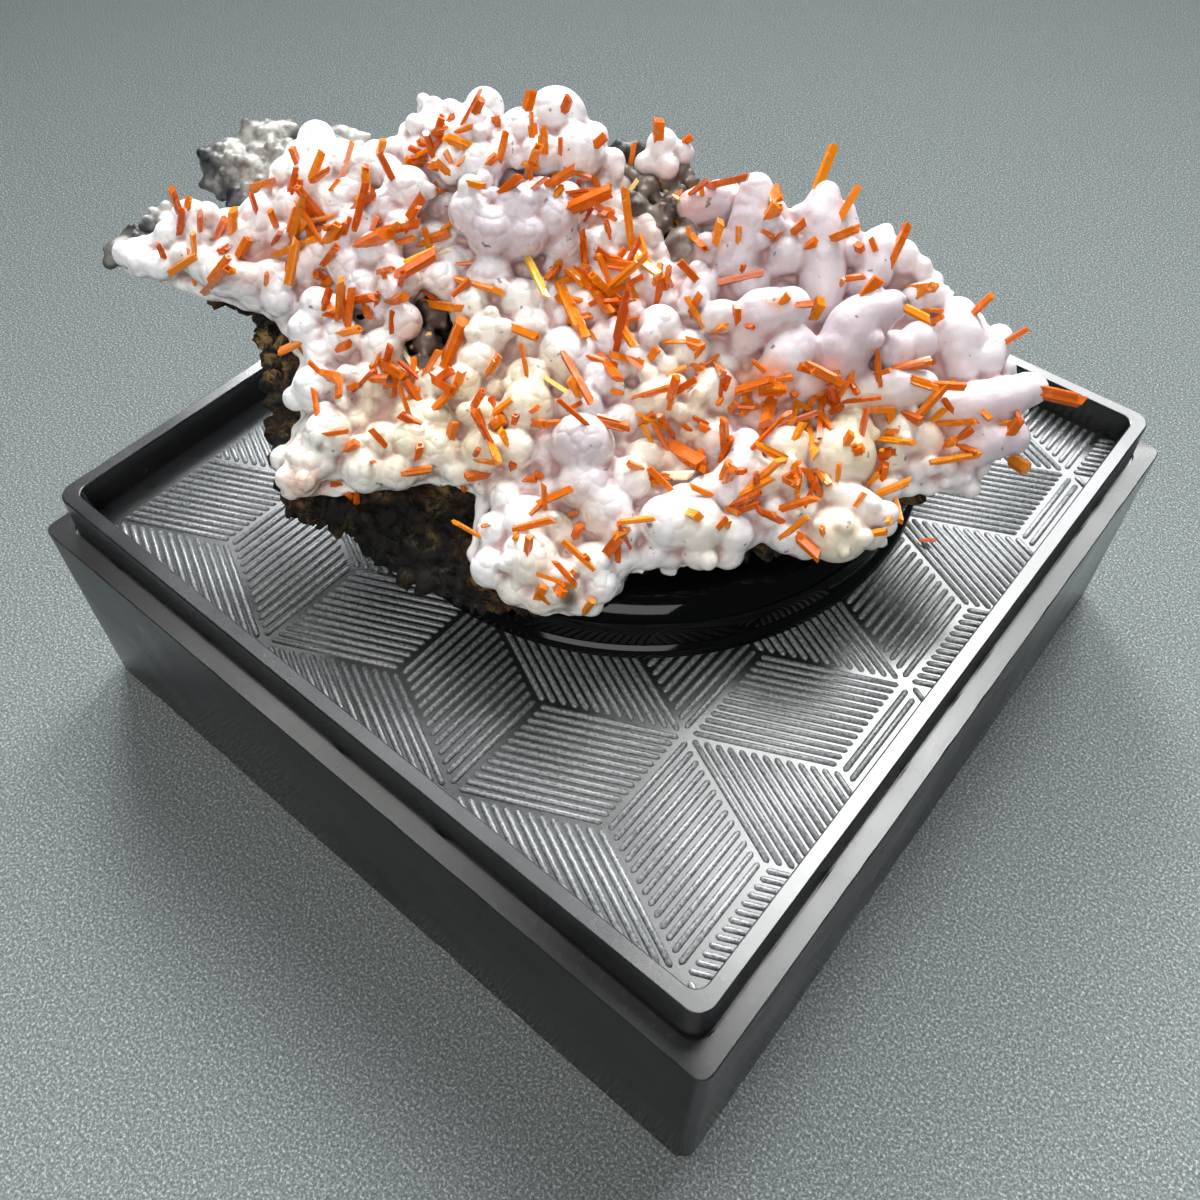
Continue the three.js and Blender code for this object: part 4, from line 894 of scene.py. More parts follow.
# The balls are fused a fillet too large and shrunk again, which rounds the grooves between.
fillet = 0.03
ball_groups = []
detail_of_balls = {"lobes": (balls, 4), "felt": (felt, 3), "crumbs": (crumbs, 2), "lip": (lip_balls, 2)}
for name, (rows, detail) in detail_of_balls.items():
    radii = [(row[3] + fillet) * mm for row in rows]
    group = cloud_of(name, [place(*row[:3]) for row in rows], {"radius": radii})
    values = {"Unevenness": 0.1, "Ball detail": detail, "Seed": 5, "Finish": gibbsite}
    ball_groups.append(grown(group, ball_tree, values))
whole = fused(joined("whole_balls", ball_groups), voxel=0.17 * mm, smoothing=1)
shrink = whole.modifiers.new("shrink", "DISPLACE")
shrink.mid_level = 0
shrink.strength = -fillet * mm
plain_mesh(whole)

# Where the surface is a fine cauliflower and where its lobes stay smooth.
cauliflower = [
    (-11, 14.6, 2.4, 1), (-8.6, 13, 3, 0.4), (-19.8, -6.8, 1.8, 1), (-18.8, -2, 2, 0.7),
    (-26, 7.5, 4, 0.1), (-15, 5, 3.5, 0.3), (-13, -6.4, 4, 0.35), (-9.4, -12, 1.6, 0.5),
    (19.4, -9.2, 2.2, 1), (14.6, -12, 1.6, 0.8), (3.4, 11.2, 2, 0.5), (-6, 1.6, 3.5, 0.4),
    (0.5, -1.5, 3.5, 0.45), (9.4, -8, 2, 0.5), (3.4, -5, 3, 0.5), (10.8, 5.8, 1.8, 0.8),
    (-8.6, -4.6, 3, 0.4), (4.6, 3, 2, 0.4), (17.4, -7, 2, 0.4), (11.8, -12.4, 2, 0.6),
    (9.6, -11.6, 1.6, 0.5),
]
bud_bed = fused(new_object("bud_bed", whole.data.copy()), voxel=0.3 * mm, smoothing=1)
x, y, _ = face_coordinates(points_of(bud_bed.data))
facing_front = normals_of(bud_bed.data) @ np.array(specimen_turn @ Vector((-0.1, -0.7, 0.7))) > 0
put_values(bud_bed.data, {"buds": np.maximum(spots_at(x, y, cauliflower), 0.04) * facing_front})
buds = grown(bud_bed, bud_tree, {
    "Least gap": 1.0 * mm, "Most per area": 1.0e6, "Smallest": 0.32 * mm, "Largest": 0.78 * mm,
    "Seed": 8, "Finish": gibbsite,
})
crust = joined("gibbsite_crust_skin", [whole, buds])
fused(crust, voxel=0.155 * mm, smoothing=1, most_triangles=196_000)

# Tints: lilac on the right and under the knob, cream in the sheltered middle, rust in patches.
# The lilac is partly a real tint and partly painted shade.
lilac_patches = [
    (8, 6, 5, 0.9), (14, 6, 5, 0.8), (15, -1, 6, 1), (20, -2, 6, 0.7), (23, -6.5, 4, 1),
    (-6, 8, 4.5, 0.9), (6.4, 8.2, 3, 1), (-3.2, -5.7, 3, 0.8), (-2.6, -8.8, 2.6, 0.7), (10, 1, 4, 0.7),
    (-6, 13, 4, 0.35), (-14, 8, 4, 0.5), (0, -1, 4, 0.4), (6, -7.6, 3, 0.5), (-20, 6, 6, 0.35),
]
cream_patches = [
    (-14, -4, 4.5, 0.9), (-9.5, -4, 4.5, 1), (-6, -2.4, 3, 0.9), (13.8, -6.8, 3.4, 1),
    (10.2, -8.4, 3, 0.8), (11.6, -12.2, 2.4, 0.8), (3, -4, 3.5, 0.8), (-4.6, -11, 3, 0.5),
    (-8, 1, 3, 0.5), (1.2, -7, 2.4, 0.6), (17.6, -6.6, 2.4, 0.5), (3.6, -12.2, 2, 0.4), (-6, -14, 3, 0.5),
    (-19, -6, 3, 0.35),
]
stained_patches = [
    (8, -4, 2, 1), (8.8, -3.2, 1.6, 1), (-11.8, 1, 2.2, 0.5), (3.6, 8.6, 3, 0.45), (-0.6, 3, 3, 0.45),
    (-18.6, 5.4, 2, 0.3), (19.6, -7, 2.4, 0.3), (12.6, -3.6, 1.6, 0.5), (2.6, -6.6, 1.4, 0.4),
    (9.9, 1.8, 0.8, 1), (-22, 6.4, 2, 0.3), (-13, 4, 2.4, 0.3), (-1, 8.6, 1.8, 0.3),
    (-19.6, -7.6, 1.6, 0.5),
]
brown_patches = [
    (3.4, 8.8, 3.4, 1), (4.6, 6.6, 2.4, 0.9), (-12, 1.2, 1.8, 0.9), (-4.8, -14.6, 0.55, 1),
    (1.8, 10.6, 1.6, 0.7),
]
dark_spots = [
    (18.1, 1.1, 0.3, 1), (9, -7.7, 0.3, 1), (-4.6, -14.8, 0.6, 1), (23.2, -9, 0.6, 0.8),
    (-18.6, -5.4, 0.3, 0.8),
]
x, y, lift = face_coordinates(points_of(crust.data))
edge = distance_to_outline(x, y, crust_outline)
brown = spots_at(x, y, brown_patches) * np.clip(1.2 - lift * 0.9, 0, 1)
# How far each point lies down in a crease. The creases are darkened further on as painted shade.
creases = hollowness(crust.data, 10) * 5 + hollowness(crust.data, 70) * 1.1
put_values(crust.data, {
    "chalk": np.clip(1.5 - edge / 0.6, 0, 1) * np.clip(0.4 - lift, 0, 1),
    "beads": np.clip(0.65 - x * 0.03, 0.15, 1),
    "lilac": spots_at(x, y, lilac_patches),
    "cream": spots_at(x, y, cream_patches),
    "stain": spots_at(x, y, stained_patches),
    "brown": np.maximum(brown, spots_at(x, y, dark_spots)),
    "hollow": np.clip(creases, -1, 1) * 0.5 + 0.5,
    # painted light: whiter and slightly bluish towards the left side
    "bleached": np.clip(0.35 - x * 0.035, 0, 1),
})


def surface_value(material, label):
    """What the mesh's points carry under a name."""
    return add_node(material.node_tree, "ShaderNodeAttribute", {}, attribute_name=label).outputs["Fac"]


def times(material, value, factor):
    """Two values multiplied and held between nothing and one."""
    settings = {"operation": "MULTIPLY", "use_clamp": True}
    return add_node(material.node_tree, "ShaderNodeMath", {0: value, 1: factor}, **settings).outputs["Value"]


def tinted(material, tone, cover, strength, color):
    """A tone with a colour over it where the cover is, as strongly as the strength says."""
    return mix_node(material, times(material, cover, strength), tone, color)


cloudy = noise_node(gibbsite, scale=260, detail=4, roughness=0.6)
fine = noise_node(gibbsite, scale=1800, detail=5, roughness=0.65)
speckled = noise_node(gibbsite, scale=1500, detail=2)
chalky = grey_ramp(gibbsite, fine, (0.4, 0.3), (0.6, 1))
rusty = grey_ramp(gibbsite, cloudy, (0.35, 0.2), (0.6, 1))
stain = times(gibbsite, surface_value(gibbsite, "stain"), rusty)
# Painted shade: the deeper a crease, the more it is darkened to pink-brown.
hollows = grey_ramp(gibbsite, surface_value(gibbsite, "hollow"), (0.45, 0), (0.8, 1))
specks = grey_ramp(gibbsite, speckled, (0.7, 0), (0.74, 1))
tone = ramp_node(gibbsite, cloudy, (0.3, (0.65, 0.615, 0.62)), (0.7, (0.78, 0.765, 0.765)))
for cover, strength, color in (
    # painted light: the left side whitened
    (surface_value(gibbsite, "bleached"), 1, (0.8, 0.81, 0.81)),
    # lilac: partly a real tint, partly painted shade on the right and under the knob
    (surface_value(gibbsite, "lilac"), 0.9, (0.54, 0.46, 0.5)),
    (surface_value(gibbsite, "cream"), 0.85, (0.64, 0.55, 0.36)),
    # painted shade in the creases, a dark pink-brown
    (hollows, 0.8, (0.34, 0.17, 0.15)),
    (surface_value(gibbsite, "chalk"), chalky, (0.86, 0.84, 0.8)),
    (stain, 0.8, (0.72, 0.22, 0.05)),
    (surface_value(gibbsite, "brown"), 1, (0.13, 0.1, 0.075)),
    (specks, 0.8, (0.12, 0.1, 0.1)),
):
    tone = tinted(gibbsite, tone, cover, strength, color)
bead_inputs = {"Vector": own_place(gibbsite), "Scale": 1250}
beads = add_node(gibbsite.node_tree, "ShaderNodeTexVoronoi", bead_inputs).outputs["Distance"]
bead_height = grey_ramp(gibbsite, beads, (0, 1), (0.35, 0.8), (0.75, 0))
bead_height = mix_node(gibbsite, 1, bead_height, surface_value(gibbsite, "beads"), "MULTIPLY")
relief = bump_node(gibbsite, cloudy, strength=0.35, distance=0.25 * mm)
relief = bump_node(gibbsite, bead_height, strength=0.8, distance=0.18 * mm, over=relief)
shade(gibbsite, {
    "Base Color": tone,
    "Roughness": grey_ramp(gibbsite, cloudy, (0.3, 0.3), (0.75, 0.5)),
    "Normal": bump_node(gibbsite, fine, strength=0.4, distance=0.09 * mm, over=relief),
    "IOR": 1.5,
    "Subsurface Weight": 0.25,
    "Subsurface Radius": (1.0, 0.7, 0.6),
    "Subsurface Scale": 0.5 * mm,
})
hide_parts("gibbsite_crust")
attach(crust, "root")


# ---- Gossan matrix ----
# The rock under the crust: black-brown spongy iron oxide, ochre and rust in its hollows. It
# is broken rough on its free faces and lies on the puck by its lowest lumps. Its hollows
# are darkened to near black as painted shade.

over_puck = 0.03
gossan_stone = new_material("spongy_gossan", (0.01, 0.008, 0.006), 0.8)
gossan = new_object("gossan_rock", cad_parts["gossan_matrix"].data.copy())
merged = bmesh.new()
merged.from_mesh(gossan.data)
bmesh.ops.remove_doubles(merged, verts=merged.verts, dist=0.001 * mm)
merged.to_mesh(gossan.data)
merged.free()
gossan.data.materials.clear()
gossan.data.materials.append(gossan_stone)
fused(gossan, voxel=0.33 * mm)

# Thin walls stand between the sponge's cells, and finer roughness lies over them.
cells_per_mm = 0.75
lumps_per_mm = 1.5
lump_fade, lump_step, lump_octaves = 0.8, 2.1, 4
stains_per_mm = 0.55
rock_points = points_of(gossan.data)
pushes, rust = [], []
for point in rock_points / mm:
    at = Vector(point)
    nearest, second = noise.voronoi(at * cells_per_mm)[0][:2]
    wall = 1 - min(1, (second - nearest) * 2.2)
    rough = noise.fractal(at * lumps_per_mm, lump_fade, lump_step, lump_octaves)
    pushes.append(0.45 - wall ** 2 + 0.45 * rough)
    rust.append(noise.noise(at * stains_per_mm + Vector((7, 3, 1))))
rock_points += normals_of(gossan.data) * (np.clip(pushes, -1, 0.7) * mm)[:, None]
rock_points[:, 2] = np.maximum(rock_points[:, 2], puck_high.z + over_puck * mm)
gossan.data.vertices.foreach_set("co", rock_points.ravel())
gossan.data.update()

golden_spots = [
    (-21.2, -0.6, 0.9, 0.8), (-21.6, 0.9, 1.1, 1), (-13.4, -10.8, 0.5, 0.35), (-11.6, -13, 0.5, 0.35),
    (-9.6, -13.4, 0.6, 0.6),
]
x, y, lift = face_coordinates(rock_points)
by_the_crust = np.clip(1.3 - distance_to_outline(x, y, crust_outline) / 0.9, 0, 1) * (lift > -5)
put_values(gossan.data, {
    "rust": np.clip(np.array(rust) * 1.2 + 0.5, 0, 1),
    "brown": np.maximum(np.clip(lift * 0.8 + 1.5, 0, 1), by_the_crust),
    "gold": spots_at(x, y, golden_spots),
    "hollow": np.clip(hollowness(gossan.data, 6) * 3, -1, 1) * 0.5 + 0.5,
})

coarse = noise_node(gossan_stone, scale=350, detail=5, roughness=0.65)
grit = noise_node(gossan_stone, scale=2600, detail=4, roughness=0.7)
flecked = noise_node(gossan_stone, scale=800, detail=6, roughness=0.8)
flecks = grey_ramp(gossan_stone, flecked, (0.46, 0), (0.72, 1))
rusted = grey_ramp(gossan_stone, surface_value(gossan_stone, "rust"), (0.6, 0), (0.85, 1))
# Painted shade: the sponge's hollows are darkened to near black.
hollows = grey_ramp(gossan_stone, surface_value(gossan_stone, "hollow"), (0.5, 0), (0.85, 1))
tone = ramp_node(
    gossan_stone, coarse,
    (0.4, (0.002, 0.0018, 0.0016)), (0.6, (0.008, 0.006, 0.0045)), (0.75, (0.07, 0.045, 0.02)),
)
for cover, strength, color in (
    (surface_value(gossan_stone, "brown"), flecks, (0.2, 0.095, 0.03)),
    (rusted, flecks, (0.2, 0.13, 0.035)),
    (surface_value(gossan_stone, "gold"), flecks, (0.62, 0.4, 0.14)),
    (hollows, 0.8, (0.008, 0.006, 0.005)),
):
    tone = tinted(gossan_stone, tone, cover, strength, color)
shade(gossan_stone, {
    "Base Color": tone,
    "Roughness": grey_ramp(gossan_stone, coarse, (0.3, 0.5), (0.7, 0.92)),
    "Normal": bump_node(gossan_stone, grit, strength=0.9, distance=0.2 * mm),
    "IOR": 1.35,
})
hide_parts("gossan_matrix")
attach(gossan, "root")


# ---- Goethite balls ----
# Steel-grey and brown botryoidal goethite that lines the rock's back edge and the hollow
# behind the knob. Its little balls are fused to each other and grow out of the rock.

goethite_balls = [
    # back edge, top left
    (-24.5, 12.4, -1.1, 1.1), (-23.6, 13, -1.1, 1), (-23.2, 11.8, -0.9, 1.2), (-22, 11.6, -1, 1.1),
    (-22, 13.9, -1.2, 1.1), (-20.9, 13.8, -1.2, 1.1), (-20.2, 14.2, -1.3, 0.8), (-21.6, 12.6, -1.2, 1.2),
    (-24.8, 11.2, -1.3, 0.6), (-24.2, 10.7, -1.2, 0.55), (-23.3, 10.6, -1.2, 0.6),
    (-22.5, 10.6, -1.1, 0.5), (-17.6, 13.9, -1.3, 0.7), (-16.6, 13.6, -1.3, 0.8),
    (-15.4, 13.3, -1.3, 0.7),
    # tip of the wing and its back edge
    (-30.3, 7.1, -0.1, 0.95), (-29.7, 8, -0.4, 0.6), (-28, 9.1, -0.9, 0.55), (-27.4, 9.4, -1, 0.5),
    (-28.5, 8.6, -0.8, 0.45),
    # under the crust's back edge, where the balls grow on to the rock
    (-22.8, 10.2, -0.9, 1), (-20.4, 12.4, -1, 1.1), (-17.2, 12.7, -1, 1), (-15.6, 12.4, -1, 0.9),
    (-27.6, 8.8, -0.8, 0.7), (-29.2, 7.6, -0.5, 0.7),
    # hollow behind the fingers
    (2.6, 9.4, 0.2, 0.85), (1.7, 7.9, 0.1, 1), (3.1, 7.2, 0.2, 0.95), (4.3, 8.3, 0, 0.8),
    (1.7, 10.2, 0, 0.6), (1.6, 11.8, 0.2, 0.65), (0.8, 11.9, 0, 0.5), (2.4, 11.7, -0.1, 0.6),
    (4.4, 5.4, 0.3, 1.1), (5, 6.6, -0.1, 0.8), (3.9, 9.7, -0.2, 0.7), (5.2, 9.4, -0.4, 0.7),
    (2.4, 6.2, -0.2, 0.7), (4.8, 10.4, -0.6, 0.8), (-1.2, 5.6, 0.6, 0.4),
    # pit beside the wing
    (-12, 0.4, -0.9, 0.8), (-11.4, 2, -0.9, 0.8), (-12.2, 2.4, -1, 0.6), (-11, 3.2, -0.9, 0.7),
    (-12.4, -1, -0.8, 0.8), (-10.6, -0.6, -0.8, 0.6),
]
goethite = new_material("grey_goethite", (0.12, 0.115, 0.11), 0.35)
ball_places = [place(*row[:3]) for row in goethite_balls]
seeds = cloud_of("goethite_seeds", ball_places, {"radius": [row[3] * mm for row in goethite_balls]})
smooth_balls = grown(seeds, ball_tree, {"Unevenness": 0.12, "Ball detail": 4, "Seed": 3, "Finish": goethite})
budded = new_object("goethite_buds", smooth_balls.data.copy())
put_values(budded.data, {"buds": np.full(len(budded.data.vertices), 0.8)})
buds = grown(budded, bud_tree, {
    "Least gap": 0.6 * mm, "Most per area": 2.4e6, "Smallest": 0.2 * mm, "Largest": 0.46 * mm,
    "Seed": 2, "Finish": goethite,
})
botryoids = fused(joined("goethite_balls", [smooth_balls, buds]), voxel=0.13 * mm, smoothing=1)

brown_goethite = [(3.4, 8.6, 4, 1), (-11.8, 1.2, 3, 1)]
pale_goethite = [(-23, 13.4, 1.8, 1), (-20.8, 14.2, 1.8, 1), (-22.4, 12.2, 1.6, 1), (-30.2, 7, 1.4, 0.8)]
x, y, _ = face_coordinates(points_of(botryoids.data))
put_values(botryoids.data, {"brown": spots_at(x, y, brown_goethite), "pale": spots_at(x, y, pale_goethite)})

mottled = noise_node(goethite, scale=420, detail=3)
sheen = noise_node(goethite, scale=1700, detail=4, roughness=0.6)
steel = ramp_node(
    goethite, mottled,
    (0.38, (0.012, 0.012, 0.014)), (0.52, (0.09, 0.088, 0.09)), (0.64, (0.4, 0.39, 0.36)),
)
pale = ramp_node(goethite, sheen, (0.38, (0.16, 0.155, 0.14)), (0.6, (0.46, 0.45, 0.4)))
brown = ramp_node(goethite, mottled, (0.35, (0.05, 0.035, 0.028)), (0.6, (0.17, 0.13, 0.1)))
tone = tinted(goethite, steel, surface_value(goethite, "pale"), 0.75, pale)
shade(goethite, {
    "Base Color": mix_node(goethite, surface_value(goethite, "brown"), tone, brown),
    "Roughness": grey_ramp(goethite, sheen, (0.3, 0.26), (0.7, 0.65)),
    "Normal": bump_node(goethite, sheen, strength=0.4, distance=0.08 * mm),
    "Metallic": 0.1,
})
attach(botryoids, "root")


# ---- Crocoite ----
# Slender orange-red lead chromate prisms, striated along their length, with slanted, split or
# hollow ends. They grew out of the crust and stay fixed in it by their feet.

# Crystals, listed one by one: foot x and y, tip x and y, rise of the tip and width, in
# millimetres. A seventh number is the hue of a crystal that is paler than the rest.
large_crystals = [
    (-28, 5.3, -25.8, 6.6, 0.5, 0.5),  # wing long
    (-25.4, 4.2, -23.9, 5.7, 0.5, 0.5),  # wing short
    (-23.3, 6.2, -22.6, 7.5, 0.8, 0.6),  # wing block
    (-21.4, 6.3, -18.5, 7.2, 0.5, 0.5),  # wing pair
    (-18.4, 5.2, -17.2, 6.7, 0.6, 0.5),  # mass low
    (-18, 6.7, -17.1, 8.1, 0.8, 0.7),  # mass mid
    (-15.8, 6.6, -14.1, 7.3, 0.8, 0.8),  # mass slab
    (-13.9, 4.4, -11.1, 5.9, 0.5, 0.6),  # bridge
    (-12.3, 6.5, -10.2, 7.2, 0.4, 0.5),  # bridge upper
    (-12.8, 8, -11.7, 9.6, 0.8, 0.6),  # upright
    (-16.9, 10.5, -16, 13.3, 0.7, 0.45),  # upper blade
    (-12.4, 3, -9.9, 2.4, 0.9, 0.6),  # pit upper
    (-11, -1.2, -9.7, 1.6, 1.1, 0.9),  # pit slab
    (-10.2, 4.3, -7.4, 3.3, 0.9, 0.45),  # middle needle
    (-17.7, 1.2, -16, 1.5, 0.8, 0.5),  # side lower
    (-7.2, 9.1, -5.5, 10.5, 0.9, 0.55),  # knob foot
    (-5.1, 10.3, -4.2, 12.4, 0.7, 0.6),  # knob side
    (-4.2, 9.6, -2, 10.8, 0.9, 0.55),  # knob bar
    (-2.7, 8.2, 0.2, 9.3, 1.2, 0.85),  # knob slab
    (-5.5, 5.4, -4.5, 2.8, 1.1, 0.4, 0.9),  # golden needle
    (-3.5, 3.2, -2.3, 0.1, 1.3, 0.8),  # spray column
    (-2.6, 4.6, -0.6, 1.6, 1.5, 0.6),  # spray left
    (-1.6, 5, 1.2, 4.4, 1.4, 0.6),  # spray right
    (-0.5, 1.6, 0.7, -0.6, 1.2, 0.5),  # spray low
    (0.9, 5.3, 2.8, 3.7, 1.3, 0.6, 0.86),  # spray gold
    (-3.9, -0.3, -2.3, -3.7, 1, 0.5),  # front needle
    (-6.2, -9.5, -3.9, -8.7, 0.6, 0.5),  # front bar
    (-2, -10.8, 0.7, -10.7, 0.5, 0.35),  # front thin
    (13.4, 8.6, 15, 11.5, 0.6, 0.65),  # finger spike
    (14.5, 6.5, 16.2, 8.7, 0.6, 0.6),  # finger fork
    (17.1, 3.1, 19, 6, 0.8, 0.6),  # comb spike
    (22, 0, 23.6, 1.2, 0.5, 0.5),  # edge upper
    (23.6, -1.9, 25.5, -1, 0.6, 0.5),  # edge middle
    (25.3, -4.9, 28.1, -5.7, 0.3, 0.65),  # end bar
    (18.3, -4, 20.9, -4.3, 0.6, 0.55),  # right bar
    (16.6, -3, 19, -2.6, 0.7, 0.6),  # right fan
    (11, -2.3, 13.3, -3.7, 0.7, 0.55),  # palm blade
    (6.4, -3.7, 8.9, -3.1, 1, 0.5),  # hollow bar
    (3.5, 12.1, 3.8, 13.8, 0.5, 0.8),  # back column
    (5, 9, 9.1, 9.7, 0.9, 0.5),  # back bar
    (4, 7.3, 5.8, 5.2, 1, 0.5),  # back needle
    (6.1, 4.8, 7, 6.9, 0.7, 0.6),  # finger side
    (7.1, -11, 10.6, -10.2, 0.7, 0.45),  # low right needle
    (9, -12, 10.4, -13.5, 0.5, 0.6),  # under spike
    (2, -6.5, 4, -7.8, 0.9, 0.9),  # block patch
    (1.1, -8.3, 3.3, -8.4, 0.7, 0.45, 1),  # cream bar
]
small_crystals = [
    (-18.5, -1, -17.4, -1.4, 0.4, 0.6), (-17, 3.2, -15.1, 3.4, 0.4, 0.5),
    (-14.4, 3, -13.2, 3.3, 0.5, 0.6), (-22.8, 10.6, -21, 11, 0.4, 0.5),
    (-10.6, 13.6, -10.2, 14.8, 0.5, 0.6), (-8.2, 14.6, -7.6, 15.8, 0.5, 0.6),
    (-4.8, 14.6, -4.3, 16.2, 0.5, 0.6), (-2.6, 14.2, -1.9, 15.6, 0.5, 0.5),
    (-0.9, 12, 0.2, 12.9, 0.5, 0.5), (-7.8, 11.2, -6.9, 12, 0.5, 0.5), (-16, 9.4, -14.9, 9.8, 0.5, 0.6),
    (-19.8, 7.6, -19, 8.6, 0.5, 0.7), (-24.6, 7.4, -24, 8.8, 0.5, 0.5),
    (-26.4, 9.2, -26.2, 10.4, 0.4, 0.4), (-15, -0.6, -13.4, -1.6, 0.6, 0.6),
    (-12.2, -1.4, -10.6, -2.6, 0.6, 0.6), (-11, -5.6, -10.6, -4.4, 0.5, 0.5),
    (-13, -6.6, -12.7, -5.6, 0.5, 0.5), (-17.4, -5.8, -16.4, -5.2, 0.5, 0.6),
    (-8.4, -5, -7.6, -4.4, 0.6, 0.6), (-6, -4.6, -5.2, -4.9, 0.5, 0.6),
    (-1.6, -0.8, -0.5, -2.5, 0.7, 0.5), (-6.9, 1.1, -5.2, 0.3, 0.7, 0.5),
    (-8.6, -2, -7.6, -0.6, 0.5, 0.5), (0.1, -3.8, 2.5, -3.2, 0.5, 0.4), (2.7, -3.6, 4.3, -2.8, 0.7, 0.5),
    (0.3, -5.4, 1.5, -4.7, 0.5, 0.5), (5.2, -7.8, 6, -6.4, 0.6, 0.5), (8.8, -4.2, 8.2, -5.7, 0.7, 0.7),
    (10.4, -4.4, 9.8, -5.8, 0.5, 0.5), (11.9, -4.2, 11.4, -6.8, 0.4, 0.4),
    (10.7, -5.4, 11, -7.8, 0.4, 0.45), (12.6, -7.6, 13.4, -6.6, 0.4, 0.5),
    (8.7, -8.7, 9.8, -9.4, 0.4, 0.6), (13.2, -5.2, 16.3, -5.4, 0.4, 0.45),
    (14.9, -7, 17.1, -7.4, 0.5, 0.4), (16.6, -5.6, 17.8, -6.2, 0.6, 0.6),
    (18.6, -6.4, 21.2, -6.4, 0.6, 0.45), (19.4, -7.7, 20.9, -6.8, 0.5, 0.5),
    (22.8, -7.6, 24, -6.4, 0.5, 0.7), (23, -8.8, 23.8, -9.4, 0.4, 0.8),
    (14.7, -9.9, 15.2, -8.6, 0.5, 0.45), (6.2, 3, 9.3, 3.5, 0.4, 0.45), (11, 5.6, 12.4, 6.6, 0.5, 0.5),
    (10, 6.8, 10.8, 7.8, 0.5, 0.8), (15.4, 1.6, 16.6, 2.7, 0.5, 0.8), (18.3, 1.8, 20.2, 1.9, 0.4, 0.45),
    (19.1, -0.4, 20.3, 0.1, 0.4, 0.45), (11.8, 0.3, 12.7, 1.5, 0.4, 0.7),
    (14.2, 2.8, 15.7, 2.9, 0.3, 0.35), (1.4, -1.7, 2.1, -0.8, 0.5, 0.5),
    (5.2, -10.7, 7.2, -10.3, 0.6, 0.5), (2.8, -10.5, 3.5, -10.8, 0.5, 0.7),
    (-6.9, -12.6, -6.6, -11.2, 0.4, 0.5), (-4.2, -11.8, -3.6, -10.8, 0.4, 0.5),
    (-2.3, -12.6, -1.3, -11.6, 0.5, 0.8), (-6.6, -14.8, -6, -14, 0.4, 0.6),
    (-2, -4.8, -0.1, -5.4, 0.5, 0.45), (4.3, 1, 5, 2.2, 0.6, 0.6), (-19.4, 12, -19.8, 13.2, 0.5, 0.5),
    (-14.4, 12.2, -14, 13.4, 0.5, 0.5), (7.9, 5, 8.1, 6.5, 0.3, 0.4), (11.9, 4.7, 12.9, 5.3, 0.4, 0.5),
    (15.2, 5, 15.8, 4.6, 0.4, 0.5), (13, -7.7, 14, -7.5, 0.4, 0.5), (9.8, -8.2, 9.6, -9.4, 0.4, 0.5),
    (11.1, -8.5, 11.6, -9.5, 0.4, 0.5), (12.4, -5.5, 13, -4.9, 0.4, 0.5),
    (3.5, -0.4, 4.9, -0.9, 0.4, 0.5), (5.6, -2, 6, -2.6, 0.4, 0.5), (10.5, 8.7, 10.6, 7.6, 0.4, 0.8),
    (5, 12, 5.8, 12.6, 0.4, 0.5),
]
pale_blades = [
    (-13.4, 0, -12.6, -1.3, 0.6, 0.35, 1), (-12.9, 0.2, -11.8, 0.9, 0.6, 0.3, 0.92),
    (-13.3, 5.3, -11.2, 6.1, 0.6, 0.35, 0.87), (-11.1, 5.7, -10.2, 6.1, 0.6, 0.3, 1),
    (-5.2, -1.9, -3.6, -3.1, 0.5, 0.3, 0.92), (1, 8.7, 2, 9.9, 0.4, 0.3, 0.92),
    (3.4, 9.3, 4.5, 8.5, 0.4, 0.3, 0.96),
]

crocoite = new_material("orange_crocoite", (0.85, 0.15, 0.015), 0.3)
prism_width = 1.05
prism_depth = 0.85
prism_foot = -0.02


def crystal_form(name, sides, groove, slant, hollow, twins=()):
    """A prism one wide and one long with grooved sides, with thinner twins grown on to it."""
    corners = sides * 3
    side_angle = 2 * math.pi / sides
    points, faces = [], []
    # width, shift across and along, length, turn and slant of each prism
    for width, across, along, length, turn, lean in ((1, 0, 0, 1, 0.2, slant), *twins):
        # share of the width, height and slope of each ring
        midway = prism_foot + 0.45 * (length - prism_foot)
        rings = [(0.92, prism_foot, 0), (1, midway, 0), (1, length, lean)]
        if hollow:
            rings += [(0.62, length, lean), (0.34, length - 0.1, lean)]
        faces += ring_faces(len(rings), corners, len(points))
        for share, height, slope in rings:
            for i in range(corners):
                angle = 2 * math.pi * i / corners
                flat = math.cos(side_angle / 2) / math.cos(angle % side_angle - side_angle / 2)
                reach = 0.5 * width * share * flat * (1 - groove * (i % 3 == 1))
                x = reach * math.cos(angle + turn) * prism_width
                y = reach * math.sin(angle + turn) * prism_depth
                points.append((x + across, y + along, height + slope * x))
    return object_of(name, points, faces, crocoite, 28)


forms = [
    crystal_form("prism_slanted", 4, 0.1, 0.12, False),
    crystal_form("prism_hollow", 4, 0.08, 0.05, True),
    crystal_form("prism_bundle", 4, 0.12, 0.14, False, (
        (0.55, 0.42, 0.12, 0.86, 0.9, -0.14),
        (0.45, -0.34, -0.3, 0.7, 0.5, 0.21),
    )),
    crystal_form("prism_six_sided", 6, 0.06, 0.2, False),
]

